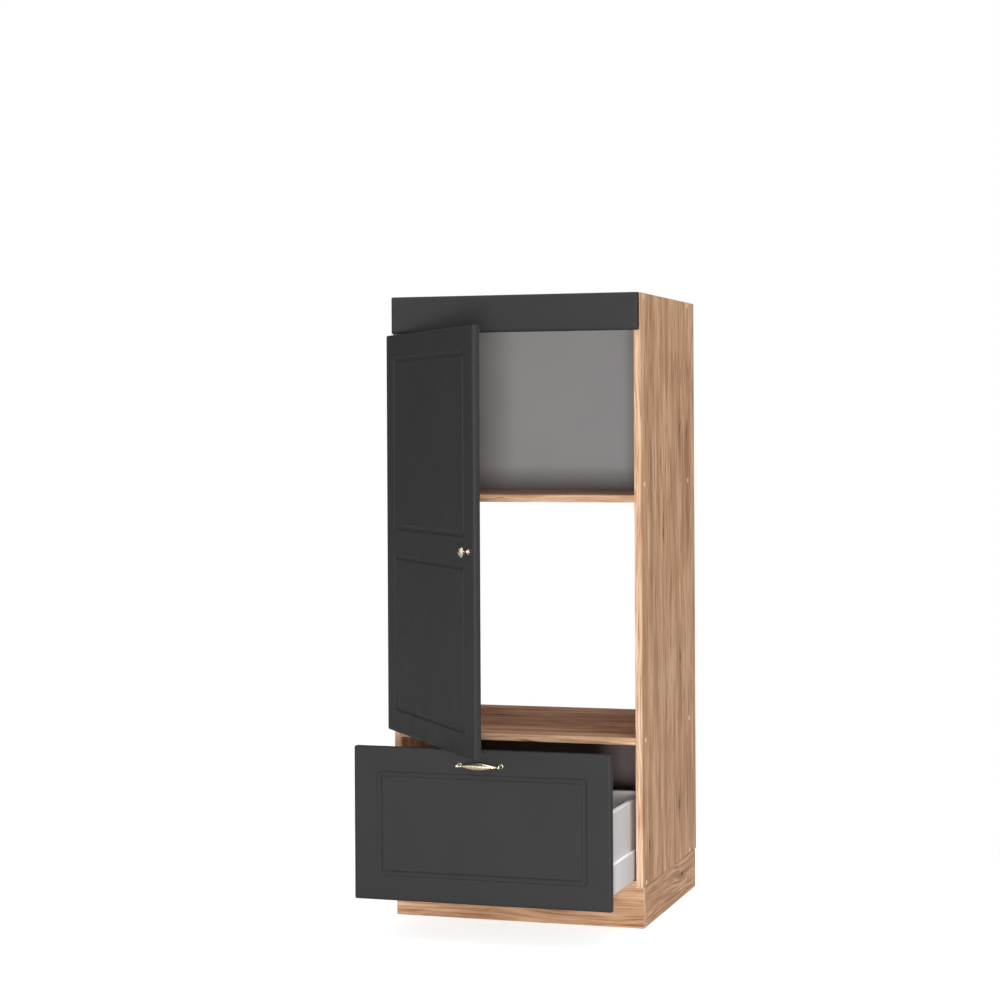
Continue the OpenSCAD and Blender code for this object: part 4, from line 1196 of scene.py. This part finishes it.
@dataclass
class Handles(SubAssembly):
    """The knob with its rosette and the spindle handle with its posts and rosettes."""

    reach: float = 19.0
    spindle_half: float = 37.0
    spindle_r: float = 8.7
    spindle_end_r: float = 2.0
    spindle_power: float = 0.95
    knob_rosette_r: float = 7.0
    handle_rosette_r: float = 5.5
    ball_r: float = 4.5
    neck_steps: int = 32
    knob_outline: tuple[Flat, ...] = (
        (4.8, 2.0), (5.2, 2.3), (5.2, 2.9), (4.7, 3.6), (3.9, 4.3), (3.5, 5.2), (3.4, 6.6), (3.5, 8.8),
        (4.4, 10.0), (6.4, 11.2), (8.8, 12.9), (10.6, 14.6), (11.4, 15.7), (11.85, 16.4), (12.0, 17.0),
        (11.85, 17.5), (11.2, 17.9), (10.5, 18.2), (10.0, 19.2), (8.7, 21.0), (6.8, 22.6), (4.6, 23.7),
        (2.3, 24.3), (0.05, 24.5),
    )
    rosette_outline: tuple[Flat, ...] = (
        (1.0, 0.0), (0.985, 0.5), (1.0, 0.8), (0.99, 1.2), (0.93, 1.6), (0.82, 1.9), (0.7, 2.0), (0.3, 2.0),
    )
    post_outline: tuple[Flat, ...] = (
        (4.3, 2.0), (4.4, 2.6), (3.9, 3.4), (3.3, 4.4), (2.9, 6.0), (2.8, 11.5), (3.2, 13.4), (3.8, 14.5),
    )
    neck_outline: tuple[Flat, ...] = (
        (1.8, 36.0), (2.0, 38.3), (2.9, 38.7), (3.4, 39.5), (2.9, 40.3), (2.0, 40.7), (1.7, 42.2),
        (2.0, 43.6), (2.6, 45.5),
    )

    def build(self) -> None:
        """Builds both handles."""
        knob, knob_plate, posts, plates = Shell(), Shell(), Shell(), Shell()
        knob_base = (KNOB_X, FACE_Y, MIDRAIL_Z)
        turned(knob, self.knob_outline, knob_base, 64)
        self.rosette(knob_plate, knob_base, self.knob_rosette_r)
        for side in (-1, 1):
            base = (side * HANDLE_X, FACE_Y, HANDLE_Z)
            turned(posts, self.post_outline + self.ball(), base)
            self.rosette(plates, base, self.handle_rosette_r)
            self.neck(posts, side)
        for shell, name, body, node in (
            (knob, "door_knob", Body.DOOR, "knob"),
            (knob_plate, "door_knob_rosette", Body.DOOR, "knob_rosette"),
            (posts, "handle_posts", Body.DRAWER, "handle"),
            (plates, "handle_rosette_pair", Body.DRAWER, "handle_rosettes"),
        ):
            self.keep(shell.piece(name, body), body, Slot.BRASS, node, self.finishes.brass)
        self.keep(self.spindle(), Body.DRAWER, Slot.BRASS, "handle", self.finishes.brass)

    def rosette(self, shell: Shell, base: Point, radius: float) -> None:
        """Adds a rosette with its foot's middle and its radius."""
        turned(shell, [(radius * share, height) for share, height in self.rosette_outline], base)

    def ball(self) -> tuple[Flat, ...]:
        """The outline of a post's ball, from its neck to just before its tip."""
        angles = [math.radians(a) for a in range(-60, 89, 12)]
        return tuple((self.ball_r * math.cos(a), self.reach + self.ball_r * math.sin(a)) for a in angles)

    def neck(self, shell: Shell, side: int) -> None:
        """Adds the collar and neck between the spindle and a post, along X.

        Args:
            shell: The mesh that it goes into.
            side: -1 for the left, 1 for the right.
        """
        y, rows = FACE_Y - self.reach, []
        for radius, x in self.neck_outline:
            ring = circle(radius, self.neck_steps)
            rows.append(shell.loop((side * x, y + a, HANDLE_Z + b) for a, b in ring))
        shell.bands(rows)
        shell.face(rows[0])
        shell.face(rows[-1])

    def spindle(self) -> Shape:
        """Builds the handle's spindle at rest.

        Returns:
            The new object.
        """
        values = {
            "Half Length": self.spindle_half * MM,
            "Middle Radius": self.spindle_r * MM,
            "End Radius": self.spindle_end_r * MM,
            "Power": self.spindle_power,
            "Place": [0.0, (FACE_Y - DRAWER_PULL - self.reach) * MM, HANDLE_Z * MM],
        }
        shape = SpindleTree().run("handle_spindle", bpy.data.meshes.new("spindle_start"), values)
        outwards(shape.data)
        return shape


# ---------------------------------------------------------------- fixings


@dataclass(frozen=True)
class Seat:
    """A place on the closed cabinet and the direction in which a part points there."""

    at: Point
    aim: Point


def grid(xs: Sequence[float], ys: Sequence[float], zs: Sequence[float], aim: Aim) -> list[Seat]:
    """The places at every mix of some X, Y and Z, all with one aim."""
    return [Seat((x, y, z), aim.value) for x in xs for y in ys for z in zs]


def sides(seats: Sequence[Seat], left_first: bool = False) -> list[Seat]:
    """Repeats places of the right side on the left side of the cabinet.

    Args:
        seats: The places on the right.
        left_first: Whether the list starts with the left side.

    Returns:
        The places on both sides.
    """
    mirrored = [Seat((-s.at[0], *s.at[1:]), (-s.aim[0], *s.aim[1:])) for s in seats]
    return [*mirrored, *seats] if left_first else [*seats, *mirrored]


def pairs(middles: Sequence[float], half: float) -> list[float]:
    """The two heights at half a distance below and above each middle."""
    return [z + sign * half for z in middles for sign in (-1, 1)]


def seats_mesh(seats: Sequence[Seat], body: Body) -> bpy.types.Mesh:
    """Makes the points that a tree puts its parts on.

    Args:
        seats: The places.
        body: The body that they stand with.

    Returns:
        A mesh of points with an aim for each.
    """
    mesh = bpy.data.meshes.new("seats")
    mesh.from_pydata(placed((s.at for s in seats), body), [], [])
    aims = mesh.attributes.new("aim", "FLOAT_VECTOR", "POINT")
    turn = body.rest().to_3x3()
    aims.data.foreach_set("vector", [c for s in seats for c in turn @ Vector(s.aim)])
    return mesh


@dataclass(frozen=True)
class ScrewKind:
    """The sizes of one kind of screw."""

    head_r: float
    head_h: float
    shank_r: float
    length: float
    pitch: float = 2.0
    tip_share: float = 1.4

    def values(self, finish: bpy.types.Material) -> dict[str, object]:
        """The tree's inputs for this screw.

        Args:
            finish: Its material.

        Returns:
            A value for each named input.
        """
        tip = self.tip_share * self.shank_r
        turns = max(1, int((self.length - tip) / self.pitch))
        return {
            "Head Radius": self.head_r * MM,
            "Head Height": self.head_h * MM,
            "Shank Radius": self.shank_r * MM,
            "Thread Pitch": (self.length - tip) / turns * MM,
            "Turns": turns,
            "Tip Length": tip * MM,
            "Finish": finish,
        }


SMALL = ScrewKind(3.0, 1.5, 1.6, 13.0)
EURO = ScrewKind(4.5, 2.0, 2.5, 13.0, 2.6)
JOINT = ScrewKind(5.0, 2.5, 2.5, 46.7, 3.0)
BLOCK = ScrewKind(4.0, 2.0, 2.0, 50.0, 2.4)
ARM = ScrewKind(3.5, 1.8, 1.8, 12.0)
CUP = ScrewKind(3.0, 1.5, 1.6, 11.0)
BOLT = ScrewKind(4.0, 1.8, 2.0, 27.0, 1.4)


@dataclass
class Fixings(SubAssembly):
    """Screws, cover caps, cams and bumpers, all placed by geometry node trees."""

    fixing_ys: tuple[float, ...] = (23.0, 466.0)
    joint_zs: tuple[float, ...] = (102.0, 428.0, 1446.0)
    joining_z: float = 1015.0
    joint_x: float = 296.7
    cap_x: float = 300.0
    cam_x: float = 260.0
    cam_z: float = 974.0
    bumper_x: float = 292.0
    bumper_y: float = -11.0
    pad_place: Flat = (-10.3, 1411.0)
    door_bumper_zs: tuple[float, ...] = (451.0, 1352.0)
    drawer_bumper_z: float = 404.0
    plate_place: Flat = (-281.5, 27.0)
    plate_screw_rise: float = 16.0
    arm_place: Flat = (-257.8, 42.0)
    cup_screw_y: float = -11.0
    cup_screw_rise: float = 24.0
    runner_x: float = 250.0
    runner_ys: tuple[float, ...] = (33.0, 238.0, 443.0)
    runner_foot_z: float = 111.5
    runner_top_z: float = 135.5
    under_top_z: float = 1436.0
    fascia_bracket_x: float = 180.0
    wall_bracket_x: float = 200.0
    wall_bracket_y: float = 488.0
    corner_zs: tuple[float, ...] = (180.0, 253.0)
    under_floor_z: float = 137.0

    def build(self) -> None:
        """Builds every set of fixings."""
        screws, caps = ScrewTree(), CapTree()
        zinc = self.finishes.get(self.finishes.zinc)
        for node, body, kind, seats in self.screw_sets():
            shape = screws.run(node + "_set", seats_mesh(seats, body), kind.values(zinc))
            self.keep(shape, body, Slot.ZINC, node)
        for node, body, slot, finish, sizes, seats in self.cap_sets():
            values = {key: size * MM for key, size in zip(("Radius", "Foot", "Dome"), sizes)}
            values["Finish"] = self.finishes.get(finish)
            self.keep(caps.run(node + "_set", seats_mesh(seats, body), values), body, slot, node)

    def screw_sets(self) -> list[tuple[str, Body, ScrewKind, list[Seat]]]:
        """Lists the screws.

        Returns:
            The node, body, kind and places of each set.
        """
        plate_x, plate_y = self.plate_place
        arm_x, arm_y = self.arm_place
        plates = grid((plate_x,), (plate_y,), pairs(HINGE_ZS, self.plate_screw_rise), Aim.LEFT)
        runners, risers = (sides(grid((self.runner_x,), self.runner_ys, (z,), aim)) for z, aim in
                           ((self.runner_foot_z, Aim.DOWN), (self.runner_top_z, Aim.UP)))
        brackets = sides([
            Seat((self.fascia_bracket_x, 12.0, self.under_top_z), Aim.UP.value),
            Seat((self.fascia_bracket_x, -10.0, 1413.0), Aim.FORWARD.value),
            Seat((self.wall_bracket_x, self.wall_bracket_y, self.under_top_z), Aim.UP.value),
        ], left_first=True)
        joints = sides(grid((self.joint_x,), self.fixing_ys, self.joint_zs, Aim.LEFT))
        arms = grid((arm_x,), (arm_y,), HINGE_ZS, Aim.LEFT)
        cups = grid((CUP_X,), (self.cup_screw_y,), pairs(HINGE_ZS, self.cup_screw_rise), Aim.FORWARD)
        grips = sides(grid((HANDLE_X,), (BACK_Y,), (HANDLE_Z,), Aim.FORWARD), left_first=True)
        return [
            ("euro_screws", Body.CARCASS, EURO, plates + runners),
            ("runner_drawer_screws", Body.DRAWER, EURO, risers),
            ("bracket_screws", Body.CARCASS, SMALL, brackets),
            ("connecting_screws", Body.CARCASS, JOINT, joints),
            ("plinth_screws", Body.CARCASS, BLOCK, self.block_seats()),
            ("hinge_arm_screws", Body.CARCASS, ARM, arms),
            ("hinge_cup_screws", Body.DOOR, CUP, cups),
            ("drawer_screws", Body.DRAWER, SMALL, self.drawer_seats()),
            ("handle_screws", Body.DRAWER, BOLT, grips),
            ("knob_screw", Body.DOOR, BOLT, grid((KNOB_X,), (BACK_Y,), (MIDRAIL_Z,), Aim.FORWARD)),
        ]

    def block_seats(self) -> list[Seat]:
        """The places of the plinth blocks' screws, at the front and the rear boards' inner faces.

        Returns:
            The places on both sides.
        """
        seats = []
        for inward, face_y, board in ((1, 16.0, Aim.FORWARD), (-1, 512.0, Aim.BACKWARD)):
            seats += [
                Seat((244.0, face_y + inward * 30.0, 30.0), Aim.RIGHT.value),
                Seat((254.0, face_y + inward * 40.0, 62.0), board.value),
                Seat((270.0, face_y + inward * 14.0, 58.0), Aim.UP.value),
            ]
        return sides(seats)

    def drawer_seats(self) -> list[Seat]:
        """The places of the screws in the drawer's brackets and under its floor.

        Returns:
            The places on both sides.
        """
        front = grid((248.5,), (-10.5,), self.corner_zs, Aim.FORWARD)
        front += [Seat((257.0, -2.0, 223.0), Aim.RIGHT.value)]
        rear = grid((248.5, 265.0), (489.5,), self.corner_zs, Aim.FORWARD)
        under = grid((272.0,), (28.0, 238.0, 448.0), (self.under_floor_z,), Aim.UP)
        under += grid((129.25,), (480.0,), (self.under_floor_z,), Aim.UP)
        return sides(front + rear + under)

    def cap_sets(self) -> list[tuple[str, Body, Slot, Finish, Point, list[Seat]]]:
        """Lists the caps, cams, pads and bumpers.

        Returns:
            The node, body, slot, finish, radius with foot and dome, and places of each set.
        """
        f, x, y = self.finishes, (self.bumper_x,), (self.bumper_y,)
        pad_y, pad_z = self.pad_place
        caps = sides(grid((self.cap_x,), self.fixing_ys, (*self.joint_zs, self.joining_z), Aim.RIGHT))
        cams = sides(grid((self.cam_x,), self.fixing_ys, (self.cam_z,), Aim.DOWN))
        pads = sides(grid(x, (pad_y,), (pad_z,), Aim.BACKWARD))
        stops = grid(x, y, self.door_bumper_zs, Aim.BACKWARD)
        ends = sides(grid(x, y, (self.drawer_bumper_z,), Aim.BACKWARD))
        return [
            ("cover_caps", Body.CARCASS, Slot.CAP, f.cap, (6.0, 0.6, 0.3), caps),
            ("shelf_cams", Body.CARCASS, Slot.ZINC, f.zinc, (7.5, 11.6, 0.3), cams),
            ("fascia_pads", Body.CARCASS, Slot.NYLON, f.nylon, (4.0, 1.7, 0.3), pads),
            ("door_bumpers", Body.DOOR, Slot.NYLON, f.nylon, (4.0, 1.0, 0.8), stops),
            ("drawer_bumpers", Body.DRAWER, Slot.NYLON, f.nylon, (4.0, 1.0, 0.8), ends),
        ]


# ---------------------------------------------------------------- hinges, drawer and runners


@dataclass
class Hinges(SubAssembly):
    """The hinges' plates, arms, links, pins and cups, which stay as they are."""

    def dress(self, nodes: dict[str, Shape]) -> None:
        """Dresses the hinges.

        Args:
            nodes: The frame's nodes by name.
        """
        f = self.finishes
        plated = ("hinge_plates", "hinge_arms", "hinge_inner_links", "hinge_outer_links", "hinge_cups")
        self.carry(nodes, f.nickel, *plated)
        self.carry(nodes, f.zinc, "hinge_arm_pins", "hinge_elbow_pins", "hinge_cup_pins")


@dataclass
class Drawer(SubAssembly):
    """The drawer's folded side profiles, panels, floor and back."""

    inner_x: float = 258.5
    outer_x: float = 279.5
    floor_z: float = 153.0
    profile_top: float = 178.0
    skirt_z: float = 112.0
    sheet: float = 1.5
    panel: float = 13.0
    panel_top: float = 290.0
    rear_y: float = 488.0
    panel_bevel: float = 0.6
    back_ease: float = 0.8
    highlight_slope: float = 0.3
    highlight_from_z: float = 170.0

    def build(self) -> None:
        """Builds the drawer's box."""
        f = self.finishes
        for name, side in (("left", -1), ("right", 1)):
            for shell, kind, part, slot, finish in (
                (self.profile(side), "profile", "sheet", Slot.GREY_METAL, f.drawer_metal),
                (self.side_panel(side), "side", "panel", Slot.GREY_BOARD, f.drawer_board),
            ):
                node = f"drawer_{kind}_{name}"
                shape = shell.piece(f"{node}_{part}", Body.DRAWER)
                self.paint_drawer_highlight(self.keep(shape, Body.DRAWER, slot, node, finish, f.drawer_painted_light))
        # The drawer's floor and back take the near-white painted light instead of the grey board.
        for board in (Board("drawer_bottom", ()), Board("drawer_back", (), ease=self.back_ease)):
            self.keep(board.build(), Body.DRAWER, Slot.GREY_BOARD, board.node, f.drawer_painted_light)

    def profile(self, side: int) -> Shell:
        """Makes a folded sheet profile with its skirt.

        Args:
            side: -1 for the left, 1 for the right.

        Returns:
            Its mesh.
        """
        i, o, t = self.inner_x, self.outer_x, self.sheet
        low, top, skirt = self.floor_z, self.profile_top, self.skirt_z
        corners = [(i, low), (o - t, low), (o - t, skirt), (o, skirt), (o, top), (i, top)]
        hollow = [(i + t, low + t), (o - t, low + t), (o - t, top - t), (i + t, top - t)]
        shell = Shell()
        prism(shell, [eased(corners, 1.6, 5), eased(hollow, 0.6)], (BACK_Y, self.rear_y), side)
        return shell

    def side_panel(self, side: int) -> Shell:
        """Makes an upper side panel with its rounded top edges.

        Args:
            side: -1 for the left, 1 for the right.

        Returns:
            Its mesh.
        """
        i, o, low, top = self.inner_x, self.inner_x + self.panel, self.profile_top, self.panel_top
        outline = eased([(i, low), (o, low), (o, top), (i, top)], 2.2, 6)
        shell = Shell()
        prism(shell, [outline], (BACK_Y, self.rear_y), side, self.panel_bevel)
        return shell

    def paint_drawer_highlight(self, shape: Shape) -> None:
        """Gives a side's upward faces above the drawer's floor their second finish, a near-white painted
        highlight.
        """
        for face in shape.data.polygons:
            face.material_index = int(face.normal.z > self.highlight_slope and face.center.z > self.highlight_from_z * MM)

    def dress(self, nodes: dict[str, Shape]) -> None:
        """Dresses the brackets and the runners.

        Args:
            nodes: The frame's nodes by name.
        """
        f = self.finishes
        members = ("runner_cabinet_members", "runner_middle_members", "runner_drawer_members")
        self.carry(nodes, f.zinc, "drawer_front_brackets", "drawer_back_brackets")
        self.carry(nodes, f.galvanised, *members)
        self.carry(nodes, f.nylon, "runner_slide_blocks")


# ---------------------------------------------------------------- studio


@dataclass(frozen=True)
class Lamp:
    """A soft square light, with its side in metres and its power in watts."""

    name: str
    place: Point
    target: Point
    size: float
    power: float

    def build(self) -> None:
        """Hangs the lamp."""
        data = bpy.data.lights.new(self.name, "AREA")
        data.shape, data.size, data.energy = "SQUARE", self.size, self.power
        lamp = linked(self.name, data)
        lamp.location = self.place
        way = Vector(self.target) - Vector(self.place)
        lamp.rotation_euler = way.to_track_quat("-Z", "Y").to_euler()


@dataclass
class Studio:
    """The pale floor, the soft lights and the camera."""

    camera_place: Point = (1.60933, -5.25175, 1.13836)
    yaw: float = 0.30423
    pitch: float = 0.000501
    roll: float = -0.005097
    lens: float = 85.150
    sensor: float = 36.0
    drop: float = -0.07
    near_clip: float = 0.1
    far_clip: float = 60.0
    key: Lamp = Lamp("key_light", (1.74, -6.1, 0.66), (0.0, 0.0, 0.75), 0.8, 250.0)
    top: Lamp = Lamp("top_light", (0.9, -0.5, 4.6), (0.2, -0.2, 0.7), 1.8, 62.0)
    bright_way: Point = (-0.06, -0.86, 0.50)
    sky: tuple[float, float] = (0.52, 0.70)
    gloss: tuple[float, float] = (0.04, 1.3)
    floor_half: float = 9.0
    floor_z: float = -0.0005
    floor_middle: Point = (0.0, 0.1, 0.0)
    floor_fade: tuple[float, float] = (0.75, 1.5)
    floor_lift: float = 0.70

    def build(self) -> None:
        """Builds the studio."""
        self.camera()
        self.floor()
        self.world()
        self.key.build()
        self.top.build()
        bpy.context.scene.view_settings.view_transform = "Standard"

    def camera(self) -> None:
        """Adds the camera."""
        data = bpy.data.cameras.new("camera")
        data.lens, data.sensor_width, data.shift_y = self.lens, self.sensor, self.drop
        data.clip_start, data.clip_end = self.near_clip, self.far_clip
        flat, rise = math.cos(self.pitch), math.sin(self.pitch)
        ahead = Vector((-math.sin(self.yaw) * flat, math.cos(self.yaw) * flat, rise))
        right = Vector((math.cos(self.yaw), math.sin(self.yaw), 0.0))
        up = right.cross(ahead)
        level = right * math.cos(self.roll) + up * math.sin(self.roll)
        upright = -right * math.sin(self.roll) + up * math.cos(self.roll)
        turn = Matrix((level, upright, -ahead)).transposed().to_4x4()
        camera = linked("camera", data)
        camera.matrix_world = Matrix.Translation(Vector(self.camera_place)) @ turn
        bpy.context.scene.camera = camera

    def seen(self, sheet: NodeSheet) -> Socket:
        """Adds the test for rays that see the background directly or through clear parts."""
        path = sheet.add("ShaderNodeLightPath")
        return sheet.maths("MAXIMUM", path.outputs["Is Camera Ray"], path.outputs["Is Transmission Ray"])

    def floor(self) -> None:
        """Adds the floor, which fades into the white background away from the cabinet."""
        half, z, white = self.floor_half, self.floor_z, (1, 1, 1, 1)
        corners = [(-half, -half, z), (half, -half, z), (half, half, z), (-half, half, z)]
        mesh = bpy.data.meshes.new("floor")
        mesh.from_pydata(corners, [], [(0, 1, 2, 3)])
        sheet = Surface("pale_floor")
        grain = sheet.noise(sheet.place, even(30.0), 3.0)
        sheet.set(Base_Color=sheet.ramp(grain, (0.0, (212, 212, 212)), (1.0, (217, 217, 217))),
                  Roughness=0.9, Specular_IOR_Level=0.0)
        camera_ray = sheet.add("ShaderNodeLightPath").outputs["Is Camera Ray"]
        lifted = {"Color": white, "Strength": sheet.times(camera_ray, self.floor_lift)}
        lift = sheet.out("ShaderNodeEmission", lifted)
        near = sheet.out("ShaderNodeAddShader", {0: sheet.shader.outputs[0], 1: lift})
        far = sheet.out("ShaderNodeEmission", {"Color": white, "Strength": 1.0})
        offset = sheet.vector("SUBTRACT", sheet.place, self.floor_middle)
        distance = sheet.add("ShaderNodeVectorMath", {0: offset}, operation="LENGTH").outputs[1]
        share = sheet.times(sheet.rise(distance, *self.floor_fade), self.seen(sheet))
        mixed = sheet.out("ShaderNodeMixShader", {0: share, 1: near, 2: far})
        sheet.feed(sheet.find("OUTPUT_MATERIAL"), {"Surface": mixed})
        mesh.materials.append(sheet.material)
        linked("floor", mesh)

    def world(self) -> None:
        """Adds the white background and the soft sky light, which is strongest from the upper front."""
        world = bpy.data.worlds.new("studio")
        world.use_nodes = True
        bpy.context.scene.world = world
        sheet = NodeSheet(world.node_tree)
        heading = sheet.add("ShaderNodeTexCoord").outputs["Generated"]
        dot = sheet.add("ShaderNodeVectorMath", {0: heading, 1: self.bright_way}, operation="DOT_PRODUCT")
        facing = dot.outputs["Value"]
        level = sheet.rise(facing, -0.8, 0.9, *self.sky)
        gloss = sheet.rise(facing, 0.0, 0.9, *self.gloss)
        white = self.seen(sheet)
        unseen = sheet.maths("SUBTRACT", 1.0, white)
        shiny = sheet.times(sheet.add("ShaderNodeLightPath").outputs["Is Glossy Ray"], unseen)
        plain = sheet.maths("SUBTRACT", unseen, shiny)
        lit = sheet.plus(sheet.times(shiny, gloss), sheet.times(plain, level))
        sheet.feed(sheet.find("BACKGROUND"), {"Color": (1, 1, 1, 1), "Strength": sheet.plus(white, lit)})


# ---------------------------------------------------------------- main


def main() -> None:
    """Builds and dresses the cabinet on its frame."""
    logging.basicConfig(level=logging.INFO, format="%(name)s: %(message)s")
    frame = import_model()
    Studio().build()
    finishes = Finishes()
    carcass, drawer = Carcass(finishes), Drawer(finishes)
    built = (carcass, Fronts(finishes), Handles(finishes), Fixings(finishes), drawer)
    for part in built:
        part.build()
    for part in (carcass, Hinges(finishes), drawer):
        part.dress(frame["nodes"])
    for part in built:
        for piece in part.pieces:
            piece.settle()
    LOG.info("cabinet is complete")


if __name__ == "__main__":
    main()
